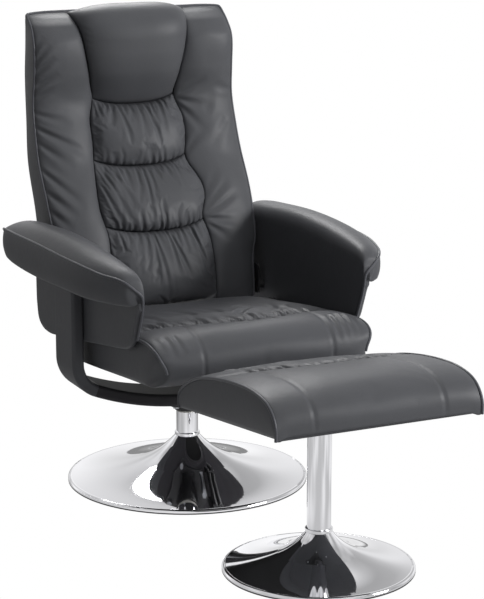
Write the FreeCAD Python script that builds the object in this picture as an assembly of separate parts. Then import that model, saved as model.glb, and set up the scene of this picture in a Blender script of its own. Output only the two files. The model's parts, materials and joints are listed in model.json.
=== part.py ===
import FreeCAD, Part
import math
import os

Vector = FreeCAD.Vector

# Pedestals of the chair and of the stool
base_radius = 276
neck_height = 104
stool_base_radius = 198.5
stool_neck_height = 82
base_wall = 1.6
rim_roll = 8
rim_height = 10
floor_pad_thickness = 3
column_radius = 25
column_wall = 2
neck_gap = 0.4
collar_thickness = 3.6
collar_height = 7
ballast_thickness = 10
base_bolt_size = 12
base_bolt_head = 6.5
base_bolt_length = 34
base_bolt_gap = 1.5
plug_height = 24
ballast_low = floor_pad_thickness + base_bolt_gap + base_bolt_head

# Swivel bearing on the chair column
column_height = 160
spindle_radius = 14
running_gap = 0.06
press_gap = 0.02
bush_height = 30
lower_bush_height = 22
lower_bush_drop = 52
bush_flange = 2
thrust_washer_thickness = 2
clip_thickness = 2
clip_width = 4
clip_groove = 2
spindle_tail = 2
swivel_boss_radius = 29
swivel_boss_height = 17.8
swivel_plate_length = 104
swivel_plate_width = 84
swivel_plate_thickness = 5
plate_bolt_size = 8
plate_bolt_head = 5
plate_bolt_depth = 14
plate_bolt_inset = 12
flange_top = column_height + bush_flange
washer_top = flange_top + thrust_washer_thickness
boss_top = washer_top + swivel_boss_height
swivel_plate_top = boss_top + swivel_plate_thickness

# Arms: panels under padded tops
arm_inner = 256.5
arm_width = 97.5
arm_panel_thickness = 14
arm_front = -372
arm_rear = 252
arm_rise = 326
arm_depth = 104
arm_panel_drop = 181
arm_panel_rear = 259.5
arm_bolt_size = 8
arm_bolt_head_radius = 8
arm_bolt_head = 5
arm_bolt_reach = 16
arm_bolt_spacing = 64
arm_bolt_drop = 112
arm_outer = arm_inner + arm_width

# U-shaped carrier of the arms
carrier_depth = 115
carrier_thickness = 28
carrier_rounding = 8
crossbeam_rise = 48
crossbeam_land = 0.8
post_bend_reach = 51.5
dowel_size = 10
dowel_reach = 14
dowel_spacing = 60
carrier_bottom = swivel_plate_top - crossbeam_land
carrier_half_width = arm_inner + arm_panel_thickness + carrier_thickness
crossbeam_half = carrier_half_width - post_bend_reach
arm_underside = carrier_bottom + arm_rise
arm_bolt_height = arm_underside - arm_bolt_drop

# Lock knob under the crossbeam
knob_radius = 19
knob_height = 22
knob_lobes = 6
knob_lobe_radius = 6
knob_offset = 12
knob_y = -34
knob_drop = 22
knob_rod_size = 8
knob_nut_size = 16
knob_nut_height = 10
knob_x = swivel_plate_length / 2 + knob_offset

# Seat, drawn level and then tilted about its pivot
seat_tilt = 6.2
seat_front = -431
seat_rear = 88
seat_thickness = 115
seat_side_gap = 6.5
seat_front_roll = 48
seat_rear_overhang = 12
seat_seam_reach = 153
seat_pivot_drop = 140
seat_pivot_rise = 79
seat_pivot_inset = 28
rail_side_gap = 13
rail_height = 52
rail_thickness = 21
webbing_width = 50
webbing_thickness = 2
webbing_count = 6
dust_cover_thickness = 1
seat_bracket_width = 32
seat_bracket_lip = 11
bracket_edge = 12
bracket_rounding = 6
bracket_thickness = 4
bracket_screw_size = 5
bracket_screw_reach = 22
bracket_screw_head_radius = 4
bracket_screw_head = 2
pivot_pin_size = 12
pin_collar = 4
seat_half = arm_inner - seat_side_gap
rail_half = arm_inner - rail_side_gap
rail_front = seat_front + seat_front_roll
rail_rear = seat_rear - seat_rear_overhang
seat_pivot_y = seat_rear - seat_pivot_inset
seat_pivot_z = arm_underside - seat_pivot_drop
seat_bottom = seat_pivot_z - seat_pivot_rise
rail_top = seat_bottom + rail_height

# Back, hinged between the arms
hinge_setback = 47
hinge_drop = 107
foot_lead = 30
foot_drop = 5
back_height = 654
back_run = 250
back_side_gap = 4.5
board_side_gap = 18.5
board_thickness = 14
hinge_plate_lead = 14
hinge_plate_drop = 18
hinge_plate_length = 71
hinge_plate_height = 70
cutter_rise = 40
soft_gap = 0.3
seam_gap = 3
back_half = arm_inner - back_side_gap
board_half = arm_inner - board_side_gap
hinge_y = seat_rear + hinge_setback
hinge_z = arm_underside - hinge_drop
back_foot_y = hinge_y - foot_lead
back_foot_z = hinge_z - foot_drop

# Stool top, drawn level and then tilted about the head of its column
stool_gap = 39
stool_tilt = 7
stool_half = 223
stool_near_reach = 202
stool_far_reach = 264
stool_thickness = 94
stool_board_inset = 27
stool_board_margin = 28
stool_board_thickness = 15
stool_plate_size = 150
stool_plate_thickness = 4
stool_column_height = 328
stool_head_rise = 7
stool_socket_wall = 5
stool_socket_depth = 24
stool_screw_size = 6
stool_screw_head = 3
stool_screw_depth = 12
stool_screw_inset = 16
stool_y = seat_front - stool_gap - stool_near_reach
stool_head_z = stool_column_height + stool_head_rise
stool_bottom = stool_head_z + stool_head_rise
stool_board_half = stool_half - stool_board_inset

# One overrun for every cut, and the largest difference of two equal lengths
overrun = 5
touching = 0.01

# Bend of a trumpet base: where its two arcs meet, and how deep each one sags
flare_radius_share = 0.352
flare_height_share = 0.368
flare_sag_share = 0.0656
skirt_sag_share = 0.0328
rim_drop_share = 0.5
rim_corner_shares = (0.3, 0.12)
ballast_radius_share = 0.5
bolt_across_share = 1.6
seat_screw_side_share = 0.25
bolster_crown_share = 0.48
padding_reach_share = 1.3
back_screw_height_shares = (0.02, 0.075)

# Arm stations: depth from front to rear, then outer edge, its height, crown and lower lip
arm_station_shares = (
    (0.000, 0.19, 0.40, 0.52, 0.08),
    (0.008, 0.36, 0.53, 0.73, 0.02),
    (0.040, 0.52, 0.58, 0.84, 0.02),
    (0.100, 0.69, 0.61, 0.92, 0.05),
    (0.215, 0.86, 0.665, 0.97, 0.09),
    (0.370, 0.95, 0.695, 1.00, 0.06),
    (0.590, 0.99, 0.73, 0.955, 0.03),
    (0.830, 1.00, 0.705, 0.85, 0.03),
    (0.970, 0.98, 0.63, 0.76, 0.13),
    (1.000, 0.90, 0.55, 0.66, 0.20),
)
arm_crown_place_share = 0.42
arm_slope_shares = (0.55, 0.30)
arm_lip_share = 0.07
arm_bulge_share = 0.10

# Outline of the arm panel: shares of its depth from the front and of its height
panel_front_shares = ((0.012, 1.0), (0.035, 0.78), (0.048, 0.58))
panel_front_corner_shares = ((0.062, 0.46), (0.100, 0.41))
panel_low_share = 0.84
panel_rear_shares = ((0.975, 0.09), (0.998, 0.39))
panel_back_shares = ((0.990, 0.68), (0.962, 1.0))

# Seat stations: depth from front to rear, half width above and below, lower and piping
# heights, crown rise and crown at the seam
seat_station_shares = (
    (0.000, 0.86, 0.81, 0.28, 0.57, 0.01, 0.005),
    (0.012, 0.92, 0.83, 0.19, 0.67, 0.05, 0.03),
    (0.035, 0.97, 0.85, 0.10, 0.755, 0.10, 0.07),
    (0.075, 1.01, 0.91, 0.05, 0.81, 0.15, 0.11),
    (0.150, 1.01, 0.98, 0.04, 0.82, 0.185, 0.14),
    (0.260, 0.995, 0.98, 0.04, 0.80, 0.17, 0.14),
    (0.350, 0.99, 0.97, 0.04, 0.80, 0.085, 0.07),
    (0.440, 0.99, 0.97, 0.04, 0.80, 0.15, 0.13),
    (0.700, 0.99, 0.97, 0.04, 0.80, 0.13, 0.11),
    (0.820, 0.965, 0.955, 0.04, 0.80, 0.12, 0.10),
    (0.970, 0.960, 0.950, 0.05, 0.80, 0.09, 0.08),
    (1.000, 0.94, 0.93, 0.10, 0.74, 0.04, 0.03),
)

# Half width of the middle column of the back, by share of its height
column_edge_shares = (
    (-0.05, 0.50),
    (0.160, 0.504),
    (0.228, 0.500),
    (0.306, 0.536),
    (0.381, 0.520),
    (0.453, 0.492),
    (0.529, 0.468),
    (0.609, 0.456),
    (0.685, 0.405),
    (0.792, 0.460),
    (0.891, 0.512),
    (0.937, 0.536),
    (0.976, 0.563),
    (1.000, 0.583),
)

# Bolster stations: height, valley depth, outer edge, piping depth, crown depth
bolster_station_shares = (
    (0.010, 0.03, 0.922, 0.12, 0.03),
    (0.070, 0.05, 0.922, 0.14, 0.05),
    (0.125, 0.09, 0.930, 0.18, 0.09),
    (0.185, 0.15, 0.985, 0.23, 0.135),
    (0.290, 0.27, 1.000, 0.345, 0.235),
    (0.375, 0.41, 1.000, 0.46, 0.375),
    (0.475, 0.59, 1.010, 0.625, 0.54),
    (0.575, 0.695, 1.000, 0.725, 0.64),
    (0.612, 0.735, 0.995, 0.755, 0.67),
    (0.680, 0.815, 0.990, 0.795, 0.735),
    (0.785, 0.745, 0.980, 0.765, 0.685),
    (0.890, 0.73, 0.980, 0.765, 0.695),
    (0.945, 0.80, 0.955, 0.86, 0.80),
    (0.982, 0.96, 0.915, 1.00, 0.955),
)

# Middle cushions: height, depth at the edge, depth at the crown
pillow_shares = (
    (0.690, 0.85, 0.80),
    (0.700, 0.82, 0.745),
    (0.745, 0.76, 0.655),
    (0.810, 0.70, 0.605),
    (0.890, 0.68, 0.595),
    (0.950, 0.76, 0.69),
    (0.985, 0.90, 0.85),
    (1.000, 1.00, 0.985),
)
upper_cushion_shares = (
    (0.478, 0.63, 0.61),
    (0.490, 0.60, 0.54),
    (0.530, 0.635, 0.53),
    (0.612, 0.69, 0.58),
    (0.660, 0.77, 0.69),
    (0.682, 0.845, 0.82),
)
middle_cushion_shares = (
    (0.238, 0.245, 0.22),
    (0.250, 0.22, 0.15),
    (0.300, 0.27, 0.17),
    (0.375, 0.395, 0.285),
    (0.450, 0.55, 0.465),
    (0.470, 0.63, 0.605),
)
lower_cushion_shares = (
    (0.010, 0.035, 0.00),
    (0.022, 0.015, -0.045),
    (0.070, 0.03, -0.06),
    (0.140, 0.08, -0.015),
    (0.205, 0.17, 0.09),
    (0.230, 0.24, 0.215),
)

# Front face of the back board and rear surface of the back
board_line_shares = (
    (-0.03, 0.18),
    (0.150, 0.30),
    (0.305, 0.47),
    (0.460, 0.72),
    (0.610, 0.85),
    (0.765, 0.92),
    (0.920, 0.96),
    (0.980, 0.975),
)
rear_station_shares = (
    (-0.04, 0.925, 0.72, 0.75),
    (0.100, 0.930, 0.80, 0.84),
    (0.170, 0.960, 0.85, 0.89),
    (0.305, 0.970, 0.945, 0.99),
    (0.460, 0.985, 1.065, 1.11),
    (0.610, 0.970, 1.13, 1.18),
    (0.765, 0.955, 1.185, 1.235),
    (0.900, 0.945, 1.16, 1.21),
    (0.960, 0.925, 1.13, 1.17),
    (0.984, 0.880, 1.06, 1.09),
)

# Stool stations across its width: how full the top is there
stool_station_shares = ((1.0, 0.93), (0.93, 0.96), (0.80, 1.0), (0.632, 0.975), (0.45, 1.0))
stool_middle_share = 1.01
stool_far_nose_shares = ((1.0, 0.05), (0.965, 0.36), (0.865, 0.70))
stool_far_top_share = (0.50, 0.955)
stool_seam_shares = (-0.28, 0.93)
stool_foot_share = 0.93
stool_near_top_shares = ((-0.55, 0.82), (-0.80, 0.62))
stool_near_nose_shares = ((-0.94, 0.46), (-1.0, 0.20))


def line(start, end):
    return Part.LineSegment(start, end).toShape()


def arc(start, middle, end):
    return Part.Arc(start, middle, end).toShape()


def outline(start, steps):
    """Closed wire: a step is an end point, or a middle and an end point of an arc."""
    edges = []
    here = start
    for step in steps:
        if isinstance(step, tuple):
            edges.append(arc(here, step[0], step[1]))
            here = step[1]
        else:
            edges.append(line(here, step))
            here = step
    return Part.Wire(edges)


def between(low, high, share):
    return low + (high - low) * share


def prism(wire, along):
    return Part.Face(wire).extrude(along)


def loft(wires):
    return Part.makeLoft(wires, True, False)


def mirrored(shape):
    return shape.mirror(Vector(0, 0, 0), Vector(1, 0, 0))


def box(low, high):
    size = high - low
    return Part.makeBox(size.x, size.y, size.z, low)


def cylinder(radius, low, high, x=0, y=0):
    return Part.makeCylinder(radius, high - low, Vector(x, y, low))


def tube(outer, inner, low, high, x=0, y=0):
    return cylinder(outer, low, high, x, y).cut(cylinder(inner, low - overrun, high + overrun, x, y))


def cross_pin(radius, start, end, y, z):
    return Part.makeCylinder(radius, end - start, Vector(start, y, z), Vector(1, 0, 0))


def hexagon_prism(across, low, high, x, y):
    radius = across / math.sqrt(3)
    corners = []
    for side in range(6):
        turn = math.radians(60 * side)
        corners.append(Vector(x + radius * math.cos(turn), y + radius * math.sin(turn), low))
    corners.append(corners[0])
    return prism(Part.makePolygon(corners), Vector(0, 0, high - low))


def edges_along(shape, direction):
    """Edges of a shape of flat plates that run along one direction."""
    chosen = []
    for edge in shape.Edges:
        if abs(edge.tangentAt(edge.FirstParameter).dot(direction)) > 1 - touching:
            chosen.append(edge)
    return chosen


def edges_across(shape, shortest):
    """Edges in planes that face forward or back, from one length up."""
    flat = [edge for edge in shape.Edges if edge.BoundBox.YLength < touching]
    return [edge for edge in flat if edge.Length > shortest]


def rims(shape, radius, height):
    """Edges that go round at one height outside one radius."""
    level = [edge for edge in shape.Edges if abs(edge.BoundBox.ZMin - height) < touching]
    return [edge for edge in level if edge.Length > math.tau * radius]


def save(name, *solids):
    shape = solids[0] if len(solids) == 1 else Part.makeCompound(list(solids))
    shape.exportStep("parts/%s.step" % name)


def save_pair(name, left):
    save("left_" + name, left)
    save("right_" + name, mirrored(left))


def sagging(start, end, sag_share):
    """Middle point of an arc that hangs under its chord in the X-Z plane."""
    chord = end - start
    normal = Vector(chord.z, 0, -chord.x)
    return (start + end) * 0.5 + normal * sag_share


def trumpet(radius, height):
    """Spun shell with a narrow neck, a flare, a shallow skirt and a rolled rim."""
    neck = column_radius + neck_gap
    skirt_end = radius - rim_roll
    joint_r = between(neck, skirt_end, flare_radius_share)
    joint_z = between(rim_height, height, flare_height_share)
    top = Vector(neck + base_wall, 0, height)
    joint = Vector(joint_r, 0, joint_z)
    skirt = Vector(skirt_end, 0, rim_height)
    rim_side = Vector(radius, 0, rim_height - rim_roll * rim_drop_share)
    rim_corner = Vector(radius - rim_roll * rim_corner_shares[0], 0,
                        rim_height - rim_roll * rim_corner_shares[1])
    foot = Vector(radius, 0, floor_pad_thickness)
    foot_in = Vector(radius - base_wall, 0, floor_pad_thickness)
    down = Vector(0, 0, base_wall)
    inner_skirt = skirt - down
    inner_joint = joint - down
    inner_top = Vector(neck, 0, height)
    profile = outline(top, [
        (sagging(top, joint, flare_sag_share), joint),
        (sagging(joint, skirt, skirt_sag_share), skirt),
        (rim_corner, rim_side),
        foot,
        foot_in,
        inner_skirt,
        (sagging(joint, skirt, skirt_sag_share) - down, inner_joint),
        (sagging(inner_top, inner_joint, flare_sag_share), inner_top),
        top,
    ])
    return Part.Face(profile).revolve(Vector(0, 0, 0), Vector(0, 0, 1), 360)


def pedestal(prefix, radius, neck, height, y):
    """Trumpet foot, ballast and column that stand on the floor."""
    disc = trumpet(radius, neck)
    disc.translate(Vector(0, y, 0))
    save(prefix + "_base_disc", disc)
    save(prefix + "_floor_pad", cylinder(radius, 0, floor_pad_thickness, 0, y))
    ballast_top = ballast_low + ballast_thickness
    bolt_hole = cylinder(base_bolt_size / 2 + press_gap, 0, height, 0, y)
    ballast = cylinder(radius * ballast_radius_share, ballast_low, ballast_top, 0, y)
    save(prefix + "_ballast", ballast.cut(bolt_hole))
    bore = column_radius - column_wall
    plug = cylinder(bore - press_gap, ballast_top, ballast_top + plug_height, 0, y)
    save(prefix + "_column_plug", plug.cut(bolt_hole))
    save(prefix + "_column", tube(column_radius, bore, ballast_top, height, 0, y))
    collar_top = neck + collar_height
    collar_radius = column_radius + collar_thickness
    collar = tube(collar_radius, column_radius + press_gap, neck, collar_top, 0, y)
    upper_rim = rims(collar, column_radius + collar_thickness / 2, collar_top)
    save(prefix + "_collar", collar.makeFillet(collar_thickness / 2, upper_rim))
    across = base_bolt_size * bolt_across_share
    head = hexagon_prism(across, ballast_low - base_bolt_head, ballast_low, 0, y)
    shank = cylinder(base_bolt_size / 2, ballast_low, ballast_low + base_bolt_length, 0, y)
    save(prefix + "_base_bolt", head.fuse(shank).removeSplitter())


def swivel_bushes():
    """Two bushes in the column and the washer that carries the weight."""
    bore = spindle_radius + running_gap
    outer = column_radius - column_wall - press_gap
    body = tube(outer, bore, column_height - bush_height, flange_top)
    flange = tube(column_radius, bore, column_height, flange_top)
    save("upper_swivel_bush", body.fuse(flange).removeSplitter())
    save("lower_swivel_bush", tube(outer, bore, lower_bush_low(), lower_bush_low() + lower_bush_height))
    save("thrust_washer", tube(column_radius, bore, flange_top, washer_top))


def lower_bush_low():
    return column_height - lower_bush_drop - lower_bush_height


def swivel_spindle():
    """Spindle under the swivel plate, kept down by a clip below the lower bush."""
    clip_top = lower_bush_low() - running_gap
    clip_low = clip_top - clip_thickness
    clip_bore = spindle_radius - clip_groove
    spindle = cylinder(spindle_radius, clip_low - spindle_tail, swivel_plate_top)
    groove = tube(spindle_radius + overrun, clip_bore, clip_low, clip_top)
    save("swivel_spindle", spindle.cut(groove))
    save("spindle_clip", tube(clip_bore + clip_width, clip_bore, clip_low, clip_top))


def swivel_plate():
    """Plate and boss that turn with the spindle, bolted under the crossbeam."""
    half_x = swivel_plate_length / 2
    half_y = swivel_plate_width / 2
    plate = box(Vector(-half_x, -half_y, boss_top), Vector(half_x, half_y, swivel_plate_top))
    plate = plate.makeFillet(plate_bolt_inset, edges_along(plate, Vector(0, 0, 1)))
    head = plate.fuse(cylinder(swivel_boss_radius, washer_top, boss_top)).removeSplitter()
    head = head.cut(cylinder(spindle_radius + press_gap, 0, swivel_plate_top + overrun))
    bolts = []
    for x, y in plate_bolt_places():
        head = head.cut(cylinder(plate_bolt_size / 2 + press_gap, 0, swivel_plate_top + overrun, x, y))
        across = plate_bolt_size * bolt_across_share
        hexagon = hexagon_prism(across, boss_top - plate_bolt_head, boss_top, x, y)
        shank = cylinder(plate_bolt_size / 2, boss_top, swivel_plate_top + plate_bolt_depth, x, y)
        bolts.append(hexagon.fuse(shank).removeSplitter())
    save("swivel_plate", head)
    save("swivel_plate_bolts", *bolts)


def plate_bolt_places():
    x = swivel_plate_length / 2 - plate_bolt_inset
    y = swivel_plate_width / 2 - plate_bolt_inset
    return [(x, y), (x, -y), (-x, -y), (-x, y)]


def crossbeam_arc(thickness):
    """Radius, centre height and end angle of one face of the smile-shaped crossbeam."""
    radius = (crossbeam_half ** 2 + crossbeam_rise ** 2) / (2 * crossbeam_rise)
    angle = math.asin(crossbeam_half / radius)
    return radius - thickness, carrier_bottom + radius, angle


def crossbeam_point(thickness, angle):
    radius, centre, whole = crossbeam_arc(thickness)
    return Vector(radius * math.sin(angle), -carrier_depth / 2, centre - radius * math.cos(angle))


def crossbeam():
    """Smile-shaped beam with a flat land for the swivel plate."""
    angle = crossbeam_arc(0)[2]
    low = [crossbeam_point(0, turn * angle) for turn in (-1, 0, 1)]
    high = [crossbeam_point(carrier_thickness, turn * angle) for turn in (-1, 0, 1)]
    profile = outline(low[0], [(low[1], low[2]), high[2], (high[1], high[0]), low[0]])
    beam = prism(profile, Vector(0, carrier_depth, 0))
    long_edges = edges_across(beam, carrier_thickness + carrier_rounding)
    beam = beam.makeFillet(carrier_rounding, long_edges)
    below = Vector(-crossbeam_half, -carrier_depth, 0)
    beam = beam.cut(box(below, Vector(crossbeam_half, carrier_depth, swivel_plate_top)))
    bolt_end = swivel_plate_top + plate_bolt_depth + press_gap
    for x, y in plate_bolt_places():
        beam = beam.cut(cylinder(plate_bolt_size / 2 + press_gap, 0, bolt_end, x, y))
    nut_low = knob_nut_low()
    above = nut_low + arm_rise
    beam = beam.cut(cylinder(knob_rod_size / 2 + running_gap, 0, above, knob_x, knob_y))
    beam = beam.cut(cylinder(knob_nut_size / 2 + press_gap, nut_low, above, knob_x, knob_y))
    for socket in dowel_joint()[1]:
        beam = beam.cut(socket).cut(mirrored(socket))
    save("crossbeam", beam)


def dowel_joint():
    """Dowels across the butt joint of crossbeam and post, and the holes they need."""
    angle = crossbeam_arc(0)[2]
    middle = (crossbeam_point(0, angle) + crossbeam_point(carrier_thickness, angle)) * 0.5
    along = Vector(math.cos(angle), 0, math.sin(angle))
    dowels = []
    sockets = []
    for side in (-1, 1):
        start = Vector(middle.x, side * dowel_spacing / 2, middle.z) - along * dowel_reach
        dowels.append(Part.makeCylinder(dowel_size / 2, dowel_reach * 2, start, along))
        hole_start = start - along * press_gap
        hole_length = (dowel_reach + press_gap) * 2
        sockets.append(Part.makeCylinder(dowel_size / 2 + press_gap, hole_length, hole_start, along))
    return dowels, sockets


def post_solid():
    """Upright that leaves the crossbeam in one tight bend."""
    angle = crossbeam_arc(0)[2]
    start = crossbeam_point(0, angle)
    inner_start = crossbeam_point(carrier_thickness, angle)
    outer_bend = post_bend_reach / (1 - math.sin(angle))
    inner_bend = outer_bend - carrier_thickness
    centre = Vector(carrier_half_width - outer_bend, start.y, start.z + outer_bend * math.cos(angle))
    halfway = (angle + math.pi / 2) / 2
    slant = Vector(math.sin(halfway), 0, -math.cos(halfway))
    side = Vector(1, 0, 0)
    rise = Vector(0, 0, arm_underside - soft_gap - centre.z)
    profile = outline(start, [
        (centre + slant * outer_bend, centre + side * outer_bend),
        centre + side * outer_bend + rise,
        centre + side * inner_bend + rise,
        centre + side * inner_bend,
        (centre + slant * inner_bend, inner_start),
        start,
    ])
    post = prism(profile, Vector(0, carrier_depth, 0))
    long_edges = edges_across(post, carrier_thickness + carrier_rounding)
    return post.makeFillet(carrier_rounding, long_edges)


def posts():
    """Both uprights, with holes for the dowels and for the bolts of the arms."""
    dowels, sockets = dowel_joint()
    post = post_solid()
    for socket in sockets:
        post = post.cut(socket)
    bolt_end = arm_inner + arm_panel_thickness + arm_bolt_reach + press_gap
    for y in arm_bolt_places():
        post = post.cut(cross_pin(arm_bolt_size / 2 + press_gap, arm_inner, bolt_end, y, arm_bolt_height))
    save_pair("post", post)
    save("carrier_dowels", *(dowels + [mirrored(dowel) for dowel in dowels]))


def arm_bolt_places():
    return [-arm_bolt_spacing / 2, arm_bolt_spacing / 2]


def knob_nut_low():
    """Floor of the nut's pocket, deep enough for the whole nut."""
    radius, centre, angle = crossbeam_arc(carrier_thickness)
    beam_top = centre - math.sqrt(radius ** 2 - (knob_x - knob_nut_size) ** 2)
    return beam_top - knob_nut_height


def lock_knob():
    """Lobed hand knob on a threaded rod that runs up through the crossbeam."""
    radius, centre, angle = crossbeam_arc(0)
    top = centre - math.sqrt(radius ** 2 - knob_x ** 2) - knob_drop
    low = top - knob_height
    reach = knob_radius - knob_lobe_radius
    body = cylinder(reach, low, top, knob_x, knob_y)
    for lobe in range(knob_lobes):
        turn = math.tau * lobe / knob_lobes
        x = knob_x + reach * math.cos(turn)
        y = knob_y + reach * math.sin(turn)
        body = body.fuse(cylinder(knob_lobe_radius, low, top, x, y))
    nut_low = knob_nut_low()
    nut_top = nut_low + knob_nut_height
    rod = cylinder(knob_rod_size / 2, low + knob_height / 2, nut_top, knob_x, knob_y)
    save("lock_knob", body.fuse(rod).removeSplitter())
    nut = cylinder(knob_nut_size / 2, nut_low, nut_top, knob_x, knob_y)
    save("knob_nut", nut.cut(cylinder(knob_rod_size / 2 + running_gap, 0, nut_top, knob_x, knob_y)))


def arm_section(shares):
    """Closed outline of the arm pad across its length."""
    depth, edge, piping, crown, lip = shares
    y = between(arm_front, arm_rear, depth)
    outer = between(arm_inner, arm_outer, edge)
    width = outer - arm_inner
    piping_z = arm_underside + arm_depth * piping
    crown_z = arm_underside + arm_depth * crown
    lip_z = arm_underside + arm_depth * lip
    shoulder_radius = width * arm_crown_place_share
    shoulder_z = crown_z - shoulder_radius
    slant = math.sqrt(0.5)
    start = Vector(arm_inner, y, arm_underside)
    shoulder = Vector(arm_inner, y, shoulder_z)
    turn = Vector(arm_inner + shoulder_radius * (1 - slant), y, shoulder_z + shoulder_radius * slant)
    top = Vector(arm_inner + shoulder_radius, y, crown_z)
    slope_x = between(top.x, outer, arm_slope_shares[0])
    slope = Vector(slope_x, y, between(crown_z, piping_z, arm_slope_shares[1]))
    rim = Vector(outer, y, piping_z)
    bulge = Vector(outer + arm_depth * arm_bulge_share, y, (lip_z + piping_z) / 2)
    lower_lip = Vector(outer - arm_depth * arm_lip_share, y, lip_z)
    return outline(start, [shoulder, (turn, top), (slope, rim), (bulge, lower_lip), start])


def panel_point(shares):
    y = between(arm_front, arm_panel_rear, shares[0])
    z = between(arm_underside - arm_panel_drop, arm_underside - soft_gap, shares[1])
    return Vector(arm_inner, y, z)


def arm_panel():
    """Thin upholstered board under the arm pad, with rounded lower corners."""
    front = [panel_point(shares) for shares in panel_front_shares]
    corner = [panel_point(shares) for shares in panel_front_corner_shares]
    low = panel_point((panel_low_share, 0))
    rear = [panel_point(shares) for shares in panel_rear_shares]
    back = [panel_point(shares) for shares in panel_back_shares]
    wire = outline(front[0], [
        (front[1], front[2]),
        (corner[0], corner[1]),
        low,
        (rear[0], rear[1]),
        (back[0], back[1]),
        front[0],
    ])
    panel = prism(wire, Vector(arm_panel_thickness, 0, 0))
    for y, z in ((seat_pivot_y, seat_pivot_z), (hinge_y, hinge_z)):
        panel = panel.cut(cross_pin(pivot_pin_size / 2 + press_gap, 0, pin_end() + press_gap, y, z))
    for y in arm_bolt_places():
        panel = panel.cut(cross_pin(arm_bolt_size / 2 + press_gap, 0, carrier_half_width, y, arm_bolt_height))
        recess = arm_inner + arm_bolt_head
        panel = panel.cut(cross_pin(arm_bolt_head_radius + press_gap, 0, recess, y, arm_bolt_height))
    return panel


def pin_end():
    return arm_inner + arm_panel_thickness - press_gap


def arms():
    pad = loft([arm_section(shares) for shares in arm_station_shares])
    save_pair("arm_pad", pad)
    save_pair("arm_panel", arm_panel())
    bolts = []
    for y in arm_bolt_places():
        head_end = arm_inner + arm_bolt_head
        head = cross_pin(arm_bolt_head_radius, arm_inner, head_end, y, arm_bolt_height)
        shank_end = arm_inner + arm_panel_thickness + arm_bolt_reach
        shank = cross_pin(arm_bolt_size / 2, head_end, shank_end, y, arm_bolt_height)
        bolts.append(head.fuse(shank).removeSplitter())
    save("arm_bolts", *(bolts + [mirrored(bolt) for bolt in bolts]))


def tilted_seat(shape):
    turned = shape.copy()
    turned.rotate(Vector(0, seat_pivot_y, seat_pivot_z), Vector(1, 0, 0), -seat_tilt)
    return turned


def seat_section(shares):
    depth, upper, lower, low, piping, crown, seam = shares
    y = between(seat_front, seat_rear, depth)
    low_z = seat_bottom + seat_thickness * low
    piping_z = seat_bottom + seat_thickness * piping
    seam_z = piping_z + seat_thickness * seam
    crown_z = piping_z + seat_thickness * crown
    side_crown_z = (crown_z + seam_z) / 2
    upper_x = seat_half * upper
    lower_x = seat_half * lower
    seam_x = seat_seam_reach * upper
    side_x = (upper_x + seam_x) / 2
    start = Vector(-lower_x, y, low_z)
    return outline(start, [
        Vector(-upper_x, y, piping_z),
        (Vector(-side_x, y, side_crown_z), Vector(-seam_x, y, seam_z)),
        (Vector(0, y, crown_z), Vector(seam_x, y, seam_z)),
        (Vector(side_x, y, side_crown_z), Vector(upper_x, y, piping_z)),
        Vector(lower_x, y, low_z),
        start,
    ])


def seat_frame():
    """Four rails, webbing and a dust cover that carry the cushion."""
    inner = rail_half - rail_thickness
    side = box(Vector(inner, rail_front, seat_bottom), Vector(rail_half, rail_rear, rail_top))
    for y, z in seat_screw_places():
        side = side.cut(bracket_hole(rail_half, y, z))
    save("left_seat_rail", tilted_seat(side))
    save("right_seat_rail", tilted_seat(mirrored(side)))
    front_end = rail_front + rail_thickness
    front = box(Vector(-inner, rail_front, seat_bottom), Vector(inner, front_end, rail_top))
    save("front_seat_rail", tilted_seat(front))
    rear_start = rail_rear - rail_thickness
    rear = box(Vector(-inner, rear_start, seat_bottom), Vector(inner, rail_rear, rail_top))
    save("rear_seat_rail", tilted_seat(rear))
    save("seat_webbing", *seat_straps())
    low = Vector(-rail_half, rail_front, seat_bottom - dust_cover_thickness)
    save("seat_dust_cover", tilted_seat(box(low, Vector(rail_half, rail_rear, seat_bottom))))


def seat_straps():
    straps = []
    spacing = (rail_rear - rail_front) / webbing_count
    for strap in range(webbing_count):
        start = rail_front + spacing * strap + (spacing - webbing_width) / 2
        low = Vector(-rail_half, start, rail_top)
        high = Vector(rail_half, start + webbing_width, rail_top + webbing_thickness)
        straps.append(tilted_seat(box(low, high)))
    return straps


def seat_screw_places():
    z = seat_bottom + rail_height / 2
    reach = seat_bracket_width * seat_screw_side_share
    return [(seat_pivot_y - reach, z), (seat_pivot_y + reach, z)]


def bracket_hole(face, y, z):
    """Screw hole in a wooden edge whose face looks outwards."""
    return cross_pin(bracket_screw_size / 2 + press_gap, face - bracket_screw_reach, arm_inner, y, z)


def bracket_screw(face, y, z):
    """Screw through a bracket on a wooden edge whose face looks outwards."""
    outer = face + bracket_thickness
    shank = cross_pin(bracket_screw_size / 2, outer - bracket_screw_reach, outer, y, z)
    head = cross_pin(bracket_screw_head_radius, outer, outer + bracket_screw_head, y, z)
    return shank.fuse(head).removeSplitter()


def bracket(low, high, places, pin_y, pin_z):
    """Rounded plate with a bore that runs on a pin, and holes for its screws."""
    plate = box(low, high)
    plate = plate.makeFillet(bracket_rounding, edges_along(plate, Vector(1, 0, 0)))
    plate = plate.cut(cross_pin(pivot_pin_size / 2 + running_gap, 0, arm_inner, pin_y, pin_z))
    for y, z in places:
        plate = plate.cut(cross_pin(bracket_screw_size / 2 + press_gap, 0, arm_inner, y, z))
    return plate


def seat_pad():
    """Crowned cushion whose front roll drops over the front rail."""
    whole = loft([seat_section(shares) for shares in seat_station_shares])
    reach = seat_half + overrun
    under = rail_top + webbing_thickness + soft_gap
    frame_room = box(Vector(-reach, rail_front - soft_gap, 0), Vector(reach, seat_rear + overrun, under))
    save("seat_cushion", tilted_seat(whole.cut(frame_room)))


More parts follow.
